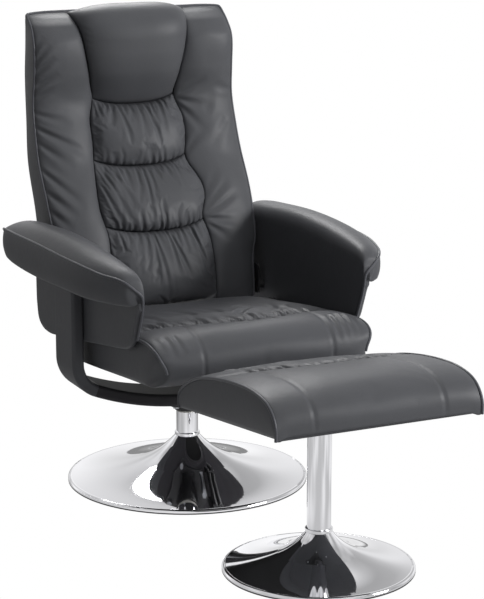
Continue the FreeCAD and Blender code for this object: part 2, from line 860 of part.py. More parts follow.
def seat_mounting():
    """Plates on the side rails and the pins that they turn on."""
    half = seat_bracket_width / 2
    low = Vector(rail_half, seat_pivot_y - half, seat_bottom + rail_height / 2 - bracket_edge)
    high = Vector(rail_half + bracket_thickness, seat_pivot_y + half,
                  seat_pivot_z + pivot_pin_size / 2 + seat_bracket_lip)
    plate = bracket(low, high, seat_screw_places(), seat_pivot_y, seat_pivot_z)
    save("seat_brackets", tilted_seat(plate), tilted_seat(mirrored(plate)))
    screws = []
    for y, z in seat_screw_places():
        screw = bracket_screw(rail_half, y, z)
        screws.append(tilted_seat(screw))
        screws.append(tilted_seat(mirrored(screw)))
    save("seat_bracket_screws", *screws)
    shank = cross_pin(pivot_pin_size / 2, rail_half + soft_gap, pin_end(), seat_pivot_y, seat_pivot_z)
    start = rail_half + bracket_thickness + soft_gap
    collar = cross_pin(pivot_pin_size / 2 + pin_collar, start, arm_inner, seat_pivot_y, seat_pivot_z)
    pin = shank.fuse(collar).removeSplitter()
    save("seat_pivot_pins", pin, mirrored(pin))


def column_edge(height):
    """Half width of the middle column of the back at a share of its height."""
    for low, high in zip(column_edge_shares, column_edge_shares[1:]):
        if height <= high[0]:
            part = (height - low[0]) / (high[0] - low[0])
            return back_half * between(low[1], high[1], part)
    return back_half * column_edge_shares[-1][1]


def back_place(x, depth, height):
    return Vector(x, back_foot_y + back_run * depth, back_foot_z + back_height * height)


def board_solid(half, offset, reach, over):
    """Bent board moved forward by the offset, with both ends longer by over."""
    front = []
    for height, depth in board_line_shares:
        front.append(back_place(-half, depth, height) - Vector(0, offset, 0))
    if over:
        rise = Vector(0, 0, over)
        front = [front[0] - rise] + front + [front[-1] + rise]
    rear = [point + Vector(0, reach, 0) for point in reversed(front)]
    return prism(Part.makePolygon(front + rear + [front[0]]), Vector(half * 2, 0, 0))


def back_frame():
    board = board_solid(board_half, 0, board_thickness, 0)
    for y, z in back_screw_places():
        hole = bracket_hole(board_half, y, z)
        board = board.cut(hole).cut(mirrored(hole))
    save("back_board", board)


def bolster_section(shares):
    height, valley, edge, piping, crown = shares
    inner = column_edge(height) + seam_gap / 2
    outer = back_half * edge
    start = back_place(inner, valley, height)
    top = back_place(between(inner, outer, bolster_crown_share), crown, height)
    rim = back_place(outer, piping, height)
    rim_back = back_place(outer, padding_reach_share, height)
    start_back = back_place(inner, padding_reach_share, height)
    return outline(start, [(top, rim), rim_back, start_back, start])


def cushion_section(shares):
    height, edge, crown = shares
    half = column_edge(height) - seam_gap / 2
    left = back_place(-half, edge, height)
    right = back_place(half, edge, height)
    left_back = back_place(-half, padding_reach_share, height)
    right_back = back_place(half, padding_reach_share, height)
    return outline(left, [(back_place(0, crown, height), right), right_back, left_back, left])


def back_front_padding():
    """Two bolsters beside a column of a pillow and three cushions."""
    reach = back_run * padding_reach_share
    behind = board_solid(back_half + overrun, soft_gap, reach, cutter_rise)
    bolster = loft([bolster_section(shares) for shares in bolster_station_shares])
    save_pair("bolster", bolster.cut(behind))
    columns = (
        ("head_pillow", pillow_shares),
        ("upper_back_cushion", upper_cushion_shares),
        ("middle_back_cushion", middle_cushion_shares),
        ("lower_back_cushion", lower_cushion_shares),
    )
    for name, table in columns:
        cushion = loft([cushion_section(shares) for shares in table])
        save(name, cushion.cut(behind))


def rear_section(shares):
    height, edge, side, middle = shares
    half = back_half * edge
    left = back_place(-half, side, height)
    right = back_place(half, side, height)
    left_front = back_place(-half, 0, height)
    right_front = back_place(half, 0, height)
    return outline(left, [(back_place(0, middle, height), right), right_front, left_front, left])


def back_rear_padding():
    pad = loft([rear_section(shares) for shares in rear_station_shares])
    reach = back_run + board_thickness + soft_gap
    ahead = board_solid(back_half + overrun, back_run, reach, cutter_rise)
    save("back_rear_pad", pad.cut(ahead))


def back_screw_places():
    """Centres on the edge of the board, level with the hinge plate."""
    places = []
    low, high = board_line_shares[0], board_line_shares[1]
    for height in back_screw_height_shares:
        part = (height - low[0]) / (high[0] - low[0])
        point = back_place(0, between(low[1], high[1], part), height)
        places.append((point.y + board_thickness / 2, point.z))
    return places


def back_mounting():
    """Hinge plates on the edges of the board, with their pins in the arm panels."""
    low = Vector(board_half, hinge_y - hinge_plate_lead, hinge_z - hinge_plate_drop)
    high = low + Vector(bracket_thickness, hinge_plate_length, hinge_plate_height)
    plate = bracket(low, high, back_screw_places(), hinge_y, hinge_z)
    save("back_brackets", plate, mirrored(plate))
    screws = [bracket_screw(board_half, y, z) for y, z in back_screw_places()]
    save("back_bracket_screws", *(screws + [mirrored(screw) for screw in screws]))
    pin = cross_pin(pivot_pin_size / 2, board_half + soft_gap, pin_end(), hinge_y, hinge_z)
    save("back_hinge_pins", pin, mirrored(pin))
    start = board_half + bracket_thickness + soft_gap
    sleeve = cross_pin(pivot_pin_size / 2 + pin_collar, start, arm_inner, hinge_y, hinge_z)
    spacer = sleeve.cut(cross_pin(pivot_pin_size / 2 + press_gap, 0, arm_outer, hinge_y, hinge_z))
    save("back_hinge_spacers", spacer, mirrored(spacer))


def tilted_stool(shape):
    turned = shape.copy()
    turned.rotate(Vector(0, stool_y, stool_head_z), Vector(1, 0, 0), -stool_tilt)
    return turned


def stool_point(x, fullness, shares):
    """Depth share 1 is the far end, -1 the end beside the chair."""
    reach = stool_far_reach if shares[0] > 0 else stool_near_reach
    lift = stool_thickness * shares[1] * fullness
    return Vector(x, stool_y - reach * shares[0], stool_bottom + lift)


def stool_section(x, fullness):
    far = [stool_point(x, fullness, shares) for shares in stool_far_nose_shares]
    far_top = stool_point(x, fullness, stool_far_top_share)
    seam = stool_point(x, fullness, stool_seam_shares)
    near_top = [stool_point(x, fullness, shares) for shares in stool_near_top_shares]
    near = [stool_point(x, fullness, shares) for shares in stool_near_nose_shares]
    return outline(far[0], [
        (far[1], far[2]),
        (far_top, seam),
        (near_top[0], near_top[1]),
        (near[0], near[1]),
        stool_point(x, fullness, (-stool_foot_share, 0)),
        stool_point(x, fullness, (stool_foot_share, 0)),
        far[0],
    ])


def stool_pad():
    """Crowned cushion with its seam over the column, hollow for the board."""
    side = [(stool_half * share, fullness) for share, fullness in stool_station_shares]
    middle = (0, stool_middle_share)
    stations = [(-x, fullness) for x, fullness in side] + [middle] + list(reversed(side))
    pad = loft([stool_section(x, fullness) for x, fullness in stations])
    board = stool_board()
    low = Vector(board.BoundBox.XMin - soft_gap, board.BoundBox.YMin - soft_gap, 0)
    high = Vector(board.BoundBox.XMax, board.BoundBox.YMax, board.BoundBox.ZMax)
    gap = Vector(soft_gap, soft_gap, soft_gap)
    save("stool_cushion", tilted_stool(pad.cut(box(low, high + gap))))


def stool_board():
    low = stool_bottom + stool_plate_thickness
    far = stool_y - stool_far_reach + stool_board_margin
    near = stool_y + stool_near_reach - stool_board_margin
    high = Vector(stool_board_half, near, low + stool_board_thickness)
    return box(Vector(-stool_board_half, far, low), high)


def stool_mounting():
    """Board on a plate with a socket that sits on the head of the column."""
    half = stool_plate_size / 2
    plate_top = stool_bottom + stool_plate_thickness
    plate = box(Vector(-half, stool_y - half, stool_bottom), Vector(half, stool_y + half, plate_top))
    board = stool_board()
    screws = []
    for x, y in stool_screw_places():
        screw_top = plate_top + stool_screw_depth
        hole = cylinder(stool_screw_size / 2 + press_gap, 0, screw_top + press_gap, x, y)
        board = board.cut(hole)
        plate = plate.cut(hole)
        head = cylinder(stool_screw_size, stool_bottom - stool_screw_head, stool_bottom, x, y)
        shank = cylinder(stool_screw_size / 2, stool_bottom, screw_top, x, y)
        screws.append(tilted_stool(head.fuse(shank).removeSplitter()))
    save("stool_board", tilted_stool(board))
    save("stool_plate_screws", *screws)
    socket_radius = column_radius + stool_socket_wall
    socket_low = stool_column_height - stool_socket_depth
    socket = cylinder(socket_radius, socket_low, plate_top, 0, stool_y)
    below = box(Vector(-half, stool_y - half, 0), Vector(half, stool_y + half, stool_bottom))
    socket = socket.common(tilted_stool(below))
    head = tilted_stool(plate).fuse(socket).removeSplitter()
    column_top = stool_column_height + press_gap
    save("stool_plate", head.cut(cylinder(column_radius + press_gap, 0, column_top, 0, stool_y)))


def stool_screw_places():
    reach = stool_plate_size / 2 - stool_screw_inset
    return [(x, stool_y + y) for x in (-reach, reach) for y in (-reach, reach)]


os.makedirs("parts", exist_ok=True)
pedestal("chair", base_radius, neck_height, column_height, 0)
pedestal("stool", stool_base_radius, stool_neck_height, stool_column_height, stool_y)
swivel_bushes()
swivel_spindle()
swivel_plate()
crossbeam()
posts()
lock_knob()
arms()
seat_frame()
seat_pad()
seat_mounting()
back_frame()
back_front_padding()
back_rear_padding()
back_mounting()
stool_pad()
stool_mounting()
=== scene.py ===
# %% [markdown]
# This notebook dresses a leather swivel recliner and its footstool. The solids of the chair are
# loaded first as a fixed frame: their steel, wood and plastic parts stay and only get a finish.
# The upholstery is sewn here, panel by panel, on top of the plain solids that stand for it.

# %% The fixed frame
import json
import math
import random
import bmesh
import bpy
from mathutils import Matrix, Vector, noise


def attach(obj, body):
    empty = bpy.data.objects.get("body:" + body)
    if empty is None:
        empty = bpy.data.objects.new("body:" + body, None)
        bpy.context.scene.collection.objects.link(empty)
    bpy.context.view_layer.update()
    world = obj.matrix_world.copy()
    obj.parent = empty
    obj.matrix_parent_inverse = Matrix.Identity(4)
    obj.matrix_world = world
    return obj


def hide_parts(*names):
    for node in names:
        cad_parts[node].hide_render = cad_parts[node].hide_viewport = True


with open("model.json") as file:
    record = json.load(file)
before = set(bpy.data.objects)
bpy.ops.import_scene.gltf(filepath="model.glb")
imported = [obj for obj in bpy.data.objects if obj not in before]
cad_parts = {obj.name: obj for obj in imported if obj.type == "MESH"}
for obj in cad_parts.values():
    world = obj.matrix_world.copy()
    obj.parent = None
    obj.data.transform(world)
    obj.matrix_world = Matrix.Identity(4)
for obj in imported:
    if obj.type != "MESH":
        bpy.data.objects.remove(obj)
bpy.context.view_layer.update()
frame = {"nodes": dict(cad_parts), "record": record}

# %% [markdown]
# The camera comes first, so that every later choice can be judged in the picture. It stands in
# front of the chair, a little to its right-hand side and above it, with a long lens that keeps
# the two round pedestals almost free of perspective.

# %% Camera
camera_place = Vector((-1.91777, -4.42778, 1.55984))
camera_heading = math.radians(-24.92)
camera_pitch = math.radians(13.283)
camera_lens = 130.87


def put_in_scene(name, data):
    """Makes an object of some data and links it to the scene."""
    made = bpy.data.objects.new(name, data)
    bpy.context.scene.collection.objects.link(made)
    return made


camera_data = bpy.data.cameras.new("camera")
camera_data.sensor_width = 36
camera_data.lens = camera_lens
camera = put_in_scene("camera", camera_data)
camera.location = camera_place
camera.rotation_euler = (math.pi / 2 - camera_pitch, 0, camera_heading)
bpy.context.scene.camera = camera
bpy.context.scene.view_settings.view_transform = "Standard"
print("camera", round(camera_place.length, 2), "m from the column, lens", camera_lens, "mm")

# %% [markdown]
# Real colours are written as the hex values that a picture shows. A shader wants linear light,
# so one function turns them round. A second one adds a node with its settings and its links,
# which keeps every material down to a few lines. A Mix node that mixes colours has sockets of
# the same names as one that mixes numbers, so they are reached by their places.

# %% Colour and node helpers
colour_a, colour_b, colour_out = 6, 7, 2


def linear(code):
    """Linear colour of an sRGB hex value."""
    parts = [int(code[spot:spot + 2], 16) / 255 for spot in (1, 3, 5)]
    return [part / 12.92 if part <= 0.04045 else ((part + 0.055) / 1.055) ** 2.4 for part in parts] + [1]


def add(tree, kind, links=None, **settings):
    """Adds a node, sets it up, and gives its sockets a value or a link."""
    made = tree.nodes.new(kind)
    for name, value in settings.items():
        setattr(made, name, value)
    for name, value in (links or {}).items():
        socket = made.inputs[name]
        if isinstance(value, bpy.types.NodeSocket):
            tree.links.new(value, socket)
        else:
            socket.default_value = value
    return made


def new_material(name):
    material = bpy.data.materials.new(name)
    material.use_nodes = True
    tree = material.node_tree
    tree.nodes.clear()
    return material, tree


def finish_material(tree, surface):
    add(tree, "ShaderNodeOutputMaterial", {"Surface": surface.outputs[0]})


print("middle grey in linear light", round(linear("#808080")[0], 3))

# %% [markdown]
# Upholstery leather of this kind is corrected cowhide with a pigment coat: an even charcoal
# grey with a fine pebble grain, a soft sheen and slight clouds in the tone. The grain is about
# one millimetre across, too fine for the picture, so it is drawn at two to three millimetres.
# Piping is the same hide pulled tight round a cord, which makes it a little smoother. It is drawn a little
# paler too, which paints the highlight along the piping.

# %% Leather
grain_size = 0.0026
crinkle_size = 0.014
cloud_size = 0.16


def leather_material(name, dark, light, roughness, grain):
    """Pigmented leather with pebble grain, fine crinkles and faint clouds."""
    material, tree = new_material(name)
    place = add(tree, "ShaderNodeTexCoord").outputs["Object"]
    clouds = add(tree, "ShaderNodeTexNoise", {"Vector": place, "Scale": 1 / cloud_size, "Detail": 3})
    tone = add(tree, "ShaderNodeMix", {
        "Factor": clouds.outputs["Fac"], colour_a: linear(dark), colour_b: linear(light)},
        data_type="RGBA")
    pebbles = add(tree, "ShaderNodeTexVoronoi", {
        "Vector": place, "Scale": 1 / grain_size}, feature="DISTANCE_TO_EDGE")
    crinkles = add(tree, "ShaderNodeTexNoise", {
        "Vector": place, "Scale": 1 / crinkle_size, "Detail": 4, "Distortion": 0.6})
    fine = add(tree, "ShaderNodeBump", {
        "Height": pebbles.outputs["Distance"], "Strength": grain, "Distance": 0.0006})
    coarse = add(tree, "ShaderNodeBump", {
        "Height": crinkles.outputs["Fac"], "Strength": 0.25, "Distance": 0.0012,
        "Normal": fine.outputs["Normal"]})
    sheen = add(tree, "ShaderNodeMapRange", {
        "Value": crinkles.outputs["Fac"], "To Min": roughness - 0.04, "To Max": roughness + 0.05})
    surface = add(tree, "ShaderNodeBsdfPrincipled", {
        "Base Color": tone.outputs[colour_out], "Roughness": sheen.outputs["Result"],
        "Normal": coarse.outputs["Normal"], "Specular IOR Level": 0.2})
    finish_material(tree, surface)
    return material


upholstery_leather = leather_material("pigmented_leather", "#4c4d50", "#56575b", 0.46, 0.25)
# The welt leather's paler tones are a painted highlight along the piping.
piping_leather = leather_material("welt_leather", "#505156", "#5a5b60", 0.38, 0.15)
print("leather of", len(upholstery_leather.node_tree.nodes), "nodes")

# %% [markdown]
# The pedestals are spun steel under bright chrome plate. Such plate is almost a perfect mirror,
# so its look comes from what stands around it. A trace of roughness that follows a very slow
# noise keeps the reflections from looking drawn with a ruler: the polishing wheel leaves about
# eighteen ripples in a metre.

# %% Metals
polish_ripple = 1 / 18


def metal_material(name, colour, roughness, ripple):
    """Polished or plated metal with a faint ripple left by the polishing wheel."""
    material, tree = new_material(name)
    place = add(tree, "ShaderNodeTexCoord").outputs["Object"]
    waves = add(tree, "ShaderNodeTexNoise", {"Vector": place, "Scale": 1 / polish_ripple, "Detail": 2})
    bump = add(tree, "ShaderNodeBump", {
        "Height": waves.outputs["Fac"], "Strength": ripple, "Distance": 0.001})
    wear = add(tree, "ShaderNodeMapRange", {
        "Value": waves.outputs["Fac"], "To Min": roughness * 0.7, "To Max": roughness * 1.4})
    surface = add(tree, "ShaderNodeBsdfPrincipled", {
        "Base Color": linear(colour), "Metallic": 1.0, "Roughness": wear.outputs["Result"],
        "Normal": bump.outputs["Normal"]})
    finish_material(tree, surface)
    return material


# Electroplated chrome mirrors its room; zinc plate is pale and satin from its passivation.
chrome_plate = metal_material("chrome_plate", "#e9e9ec", 0.035, 0.04)
zinc_plate = metal_material("zinc_plate", "#a9abae", 0.32, 0.2)
print("metals", chrome_plate.name, "and", zinc_plate.name)

# %% [markdown]
# The other parts are dull: beech, bare or under a dark stain that lets its streaks through, and
# powder coat, moulded plastic, cast iron and cloth. Two tones of one noise serve them all, drawn
# out along the wood. Their real grain is a few tenths of a millimetre, and is drawn at one to
# three so that it shows.

# %% Wood, plastics and cloth
wood_streak = (0.0833, 0.0833, 0.00556)


def grained_material(name, dark, light, roughness, grain, depth, strength=0.3, detail=4, shine=0.5):
    """Dull stuff with a mottle of two tones, as wide along each axis as its grain."""
    material, tree = new_material(name)
    place = add(tree, "ShaderNodeTexCoord").outputs["Object"]
    drawn_out = add(tree, "ShaderNodeMapping", {
        "Vector": place, "Scale": [1 / width for width in grain]})
    mottle = add(tree, "ShaderNodeTexNoise", {
        "Vector": drawn_out.outputs["Vector"], "Scale": 1.0, "Detail": detail})
    tone = add(tree, "ShaderNodeMix", {
        "Factor": mottle.outputs["Fac"], colour_a: linear(dark), colour_b: linear(light)},
        data_type="RGBA")
    bump = add(tree, "ShaderNodeBump", {
        "Height": mottle.outputs["Fac"], "Strength": strength, "Distance": depth})
    surface = add(tree, "ShaderNodeBsdfPrincipled", {
        "Base Color": tone.outputs[colour_out], "Roughness": roughness,
        "Specular IOR Level": shine, "Normal": bump.outputs["Normal"]})
    finish_material(tree, surface)
    return material


def even_grain(width):
    return (width, width, width)


# Powder coat, moulded nylon and acetal shine softly, with the fine peel of their oven or mould.
black_steel = grained_material("powder_coated_steel", "#1d1d1f", "#252527", 0.42,
                               even_grain(0.00111), 0.0002)
moulded_plastic = grained_material("moulded_nylon", "#1a1a1b", "#222224", 0.4,
                                   even_grain(0.00143), 0.0002)
bearing_plastic = grained_material("acetal", "#d8d6cf", "#e2e0da", 0.35, even_grain(0.00333), 0.0001)
# Sand-cast iron, woven webbing and spunbond cloth scatter light and have no sheen.
cast_iron = grained_material("cast_iron", "#2b2b2c", "#38383a", 0.7, even_grain(0.002), 0.0006)
webbing_cloth = grained_material("woven_webbing", "#2e2b28", "#47423c", 0.85,
                                 even_grain(0.00167), 0.0005)
cover_cloth = grained_material("spunbond_cloth", "#161617", "#1f1f20", 0.9, even_grain(0.00125), 0.0003)
# Sawn beech has streaks along its rails. It is bare inside the frame and stained where it shows.
frame_wood = grained_material("beech_and_ply", "#a8835a", "#c4a077", 0.6, wood_streak, 0.0005,
                              strength=0.2, detail=5, shine=0.03)
stained_wood = grained_material("stained_beech", "#3a393b", "#464548", 0.5, wood_streak, 0.0005,
                                strength=0.2, detail=5, shine=0.03)
print("dull finishes", [made.name for made in (black_steel, moulded_plastic, bearing_plastic, cast_iron,
                                               webbing_cloth, cover_cloth, frame_wood, stained_wood)])

# %% [markdown]
# The solids come in without a finish. Each one names its material in the record, so a table
# from those names to the finishes dresses them all. Two groups get another one: the posts are
# wrapped in leather, and the steel that shows between the seat and the back is given black
# powder coat, which paints the shade in the gap between them.

# %% Finishes of the solids
finishes = {
    "chromed_steel": chrome_plate,
    "zinc_plated_steel": zinc_plate,
    "black_steel": black_steel,
    "charcoal_leather": upholstery_leather,
    "stained_wood": stained_wood,
    "frame_wood": frame_wood,
    "black_plastic": moulded_plastic,
    "bearing_plastic": bearing_plastic,
    "cast_iron": cast_iron,
    "webbing": webbing_cloth,
    "dust_cover_cloth": cover_cloth,
}
slots = {row["node"]: row["material_slot"] for row in frame["record"]["subparts"]}
for node_name, node_object in frame["nodes"].items():
    node_object.data.materials.clear()
    node_object.data.materials.append(finishes[slots[node_name]])
for wrapped in ("left_post", "right_post"):
    frame["nodes"][wrapped].data.materials[0] = upholstery_leather
# Painted shade: the steel in the gap between the seat and the back gets black powder coat so that the gap
# renders dark.
for painted_shade_part in ("back_brackets", "back_hinge_pins", "back_hinge_spacers", "seat_pivot_pins",
                  "seat_brackets"):
    frame["nodes"][painted_shade_part].data.materials[0] = black_steel
print("finished", len(slots), "nodes with", len(finishes), "finishes")

# %% [markdown]
# Sewn panels are shaped by tables of places measured on the chair, so a helper reads a table
# between its rows along a smooth curve. The curve goes through every row and never jumps in
# its slope, as leather over foam does.

# %% Reading a table
def limited(value):
    """A value kept between 0 and 1."""
    return min(1, max(0, value))


def blend_rows(rows, key):
    """Values between the rows of a table, on a smooth curve through them."""
    last = len(rows) - 1
    spot = 0
    while spot < last - 1 and key > rows[spot + 1][0]:
        spot += 1
    low, high = rows[spot], rows[spot + 1]
    before, after = rows[max(spot - 1, 0)], rows[min(spot + 2, last)]
    span = high[0] - low[0]
    part = limited((key - low[0]) / span)
    square, cube = part ** 2, part ** 3
    values = []
    for column in range(1, len(low)):
        start, end = low[column], high[column]
        leave = (end - before[column]) / (high[0] - before[0]) * span
        arrive = (after[column] - start) / (after[0] - low[0]) * span
        values.append((2 * cube - 3 * square + 1) * start + (cube - 2 * square + part) * leave
                      + (3 * square - 2 * cube) * end + (cube - square) * arrive)
    return values


def mix(low, high, part):
    return low + (high - low) * part


print("a quarter up a smooth step", blend_rows(((0, 0), (1, 1)), 0.25))

# %% [markdown]
# A stuffed panel is flat on top and drawn in at its seams, and its leather is creased where it
# is gathered into the stitches. A real crease is deepest at the thread, throws up a low ridge on
# each side and dies out in the panel, and so does each one here.

# %% Seams and creases
def bell(distance, width):
    """1 at no distance, and gone a few widths away."""
    return math.exp(-(distance / width) ** 2)


def puff(across, power, softness):
    """Profile of a stuffed panel from seam to seam, 0 at -1 and 1 and full between them."""
    return max(1 - abs(across) ** power, 0) ** softness


crease_run_in = 0.12


def crease(across, along, line, width):
    """Depth of one crease: deepest near the start of its line, raised at its flanks, gone at its end."""
    start_x, start_z, end_x, end_z = line
    run_x, run_z = end_x - start_x, end_z - start_z
    from_x, from_z = across - start_x, along - start_z
    length = math.hypot(run_x, run_z)
    part = (from_x * run_x + from_z * run_z) / length ** 2
    if part < -crease_run_in or part > 1:
        return 0
    side = abs(from_x * run_z - from_z * run_x) / length
    edge = width * (0.7 + 0.8 * max(part, 0))
    if side > 4 * edge:
        return 0
    taper = (1 - max(part, 0)) ** 0.8 * min(1, (part + crease_run_in) / crease_run_in)
    return taper * (bell(side, edge) - 0.4 * bell(side - 1.8 * edge, edge))


def seam_creases(seed, low, high, seam, way, spacing, reach, depth, lean=0.0):
    """Creases that start at the stitches of a gathered seam and run out into the panel."""
    dice = random.Random(seed)
    lines = []
    place = low + spacing * dice.uniform(0.2, 0.7)
    while place < high:
        length = reach * dice.uniform(0.4, 1.6)
        slant = lean + dice.uniform(-0.2, 0.2)
        start = seam(place)
        line = (place, start, place + slant * length, start + way * length)
        lines.append((line, spacing * dice.uniform(0.15, 0.24), depth * dice.uniform(0.5, 1.2)))
        place += spacing * dice.uniform(0.65, 1.35)
    return lines


def crease_depth(across, along, lines):
    return sum(depth * crease(across, along, line, width) for line, width, depth in lines)


print("fullness halfway to a seam", round(puff(0.5, 2.8, 0.55), 2))

# %% [markdown]
# Every panel starts as a grid, which is the shape of a cut piece of leather, and each of its
# points is carried to its place. The grid is kept fine and even, because the cloth that comes
# next can only fold where it has points.

# %% Panels
def panel(mesh, across, along, place):
    """A grid whose points are carried to their places by a function of two shares."""
    made = bmesh.ops.create_grid(mesh, x_segments=across, y_segments=along, size=0.5)["verts"]
    for vert in made:
        vert.co = place(vert.co.x + 0.5, vert.co.y + 0.5)


def pattern_of(mesh):
    """An object with a copy of a mesh that is still being made, for Blender's modifiers."""
    data = bpy.data.meshes.new("pattern")
    mesh.to_mesh(data)
    return put_in_scene("pattern", data)


def worked_out(source):
    """An object with its modifiers or its bevel worked out."""
    return source.evaluated_get(bpy.context.evaluated_depsgraph_get())

# %% [markdown]
# Then the panel is stuffed: Blender's cloth lets it swell against its seams, which are held. The
# leather is cut a little wider than its place, so it crumples where it is eased into the
# stitches, as a real cover does. Sculpting could draw the same swell, but not as evenly.

# %% Stuffing
cloth_frames = 20
smallest_move = 0.000001


def stuff(mesh, outward, slack, cap, held=None, pressure=4.0, firmness=0):
    """Swells the panels of a mesh against their held seams, with the leather cut wider by slack.

    No point moves further than the cap. A firm filling bridges small buckles, so the moves are
    evened out once for each step of firmness.
    """
    bmesh.ops.recalc_face_normals(mesh, faces=mesh.faces)
    mean = sum((face.normal * face.calc_area() for face in mesh.faces), Vector())
    if mean.dot(outward) < 0:
        bmesh.ops.reverse_faces(mesh, faces=mesh.faces)
    pattern = pattern_of(mesh)
    group = pattern.vertex_groups.new(name="seams")
    pinned = [vert.index for vert in mesh.verts if vert.is_boundary or (held and held(vert.co))]
    group.add(pinned, 1.0, "REPLACE")
    cloth = pattern.modifiers.new("cloth", "CLOTH")
    leather = cloth.settings
    leather.quality = 5
    leather.mass = 0.3
    leather.tension_stiffness = 20
    leather.compression_stiffness = 20
    leather.shear_stiffness = 8
    leather.bending_stiffness = 0.4
    leather.vertex_group_mass = "seams"
    leather.use_pressure = True
    leather.uniform_pressure_force = pressure
    leather.shrink_min = -slack
    leather.effector_weights.gravity = 0
    cloth.collision_settings.use_collision = False
    cloth.point_cache.frame_start = 1
    cloth.point_cache.frame_end = cloth_frames
    for frame_number in range(1, cloth_frames + 1):
        bpy.context.scene.frame_set(frame_number)
    settled = worked_out(pattern).data
    moves = [spot.co - vert.co for vert, spot in zip(mesh.verts, settled.vertices)]
    mesh.verts.index_update()
    near = [[] if vert.is_boundary else [edge.other_vert(vert).index for edge in vert.link_edges]
            for vert in mesh.verts]
    for _ in range(firmness):
        moves = [sum((moves[other] for other in others), move) / (1 + len(others))
                 for others, move in zip(near, moves)]
    largest = max(move.length for move in moves)
    for vert, move in zip(mesh.verts, moves):
        vert.co += move * min(1, cap / max(move.length, smallest_move))
    bpy.data.objects.remove(pattern)
    print("stuffed", len(mesh.verts), "points, largest move", round(largest * 1000, 1), "mm")

# %% [markdown]
# A panel is rounded off by one subdivision and closed behind, so that it is a cushion and not a
# sheet. The finished cover takes its leather, rides on its body of the chair, and stands for the
# plain solids that it wraps.

# %% Closing and covering
def refine(mesh):
    """Rounds an open panel off with one subdivision that keeps its corners."""
    pattern = pattern_of(mesh)
    smooth = pattern.modifiers.new("smooth", "SUBSURF")
    smooth.levels = 1
    smooth.render_levels = 1
    smooth.boundary_smooth = "PRESERVE_CORNERS"
    finer = bpy.data.meshes.new_from_object(worked_out(pattern))
    mesh.clear()
    mesh.from_mesh(finer)
    bpy.data.objects.remove(pattern)
    bpy.data.meshes.remove(finer)


def close_behind(mesh, step=None):
    """Closes a panel, with its open edge carried back by a step if there is one."""
    rim = [edge for edge in mesh.edges if edge.is_boundary]
    if step:
        made = bmesh.ops.extrude_edge_only(mesh, edges=rim)["geom"]
        moved = [item for item in made if isinstance(item, bmesh.types.BMVert)]
        bmesh.ops.translate(mesh, verts=moved, vec=step)
        rim = [edge for edge in mesh.edges if edge.is_boundary]
    bmesh.ops.contextual_create(mesh, geom=rim)


def leather_piece(data, name, body, material):
    """A smooth-shaded piece of leather that rides on a body."""
    data.polygons.foreach_set("use_smooth", [True] * len(data.polygons))
    data.materials.append(material)
    piece = put_in_scene(name, data)
    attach(piece, body)
    print(name, "rides on", body, "with", len(data.polygons), "faces")
    return piece


weld_gap = 0.00005
sewn_gap = 0.0003


def cover(mesh, name, body, nodes):
    """A padded leather piece that stands for solids of the frame."""
    bmesh.ops.remove_doubles(mesh, verts=mesh.verts, dist=weld_gap)
    bmesh.ops.recalc_face_normals(mesh, faces=mesh.faces)
    data = bpy.data.meshes.new(name)
    mesh.to_mesh(data)
    mesh.free()
    piece = leather_piece(data, name, body, upholstery_leather)
    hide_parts(*nodes)

# %% [markdown]
# Piping is a cord sewn into a folded strip of leather between two panels. A curve with a round
# bevel gives it, and it is made a mesh because a curve can't be welded or measured.

# %% Piping
welt_radius = 0.0032
welt_lift = 0.001


def welt(name, body, points):
    """A cord in a strip of leather, sewn along an edge."""
    line = bpy.data.curves.new(name, "CURVE")
    line.dimensions = "3D"
    line.bevel_depth = welt_radius
    line.bevel_resolution = 3
    line.use_fill_caps = True
    line.resolution_u = 4
    spline = line.splines.new("NURBS")
    spline.points.add(len(points) - 1)
    for spot, point in zip(spline.points, points):
        spot.co = (*point, 1)
    spline.order_u = 3
    spline.use_endpoint_u = True
    holder = put_in_scene(name, line)
    bpy.context.view_layer.update()
    data = bpy.data.meshes.new_from_object(worked_out(holder))
    bpy.data.objects.remove(holder)
    leather_piece(data, name, body, piping_leather)

# %% [markdown]
# The back is one bent slab with two bolsters beside a column of a head pillow and three
# cushions. Two tables hold what they share: at each height the depth of the valley between
# them, the edge of the column, and the place of the piping on the outer edge.

# %% Lines of the back
# Height; depth of the valley; half width and depth of the piping; swell of a bolster.
back_rows = (
    (0.3800, 0.1160, 0.2300, 0.1330, 0.0080),
    (0.4060, 0.1125, 0.2323, 0.1350, 0.0110),
    (0.4458, 0.1175, 0.2323, 0.1400, 0.0130),
    (0.4818, 0.1275, 0.2360, 0.1500, 0.0150),
    (0.5210, 0.1425, 0.2482, 0.1625, 0.0170),
    (0.5897, 0.1725, 0.2530, 0.1912, 0.0190),
    (0.6453, 0.2075, 0.2545, 0.2200, 0.0200),
    (0.7107, 0.2525, 0.2545, 0.2612, 0.0210),
    (0.7761, 0.2788, 0.2525, 0.2862, 0.0210),
    (0.8447, 0.3068, 0.2500, 0.3038, 0.0210),
    (0.9134, 0.2932, 0.2475, 0.2962, 0.0190),
    (0.9820, 0.2905, 0.2475, 0.2962, 0.0170),
    (1.0180, 0.3080, 0.2445, 0.3200, 0.0140),
    (1.0350, 0.3320, 0.2440, 0.3420, 0.0080),
    (1.0430, 0.3490, 0.2430, 0.3520, 0.0030),
    (1.0480, 0.3580, 0.2370, 0.3590, 0.0010),
)
# Height and half width of the column.
column_rows = (
    (0.367, 0.1260),
    (0.505, 0.1270),
    (0.549, 0.1260),
    (0.600, 0.1350),
    (0.649, 0.1320),
    (0.700, 0.1240),
    (0.746, 0.1180),
    (0.798, 0.1160),
    (0.848, 0.1030),
    (0.883, 0.1090),
    (0.918, 0.1160),
    (0.951, 0.1230),
    (0.983, 0.1290),
    (1.013, 0.1350),
    (1.038, 0.1420),
    (1.054, 0.1470),
)
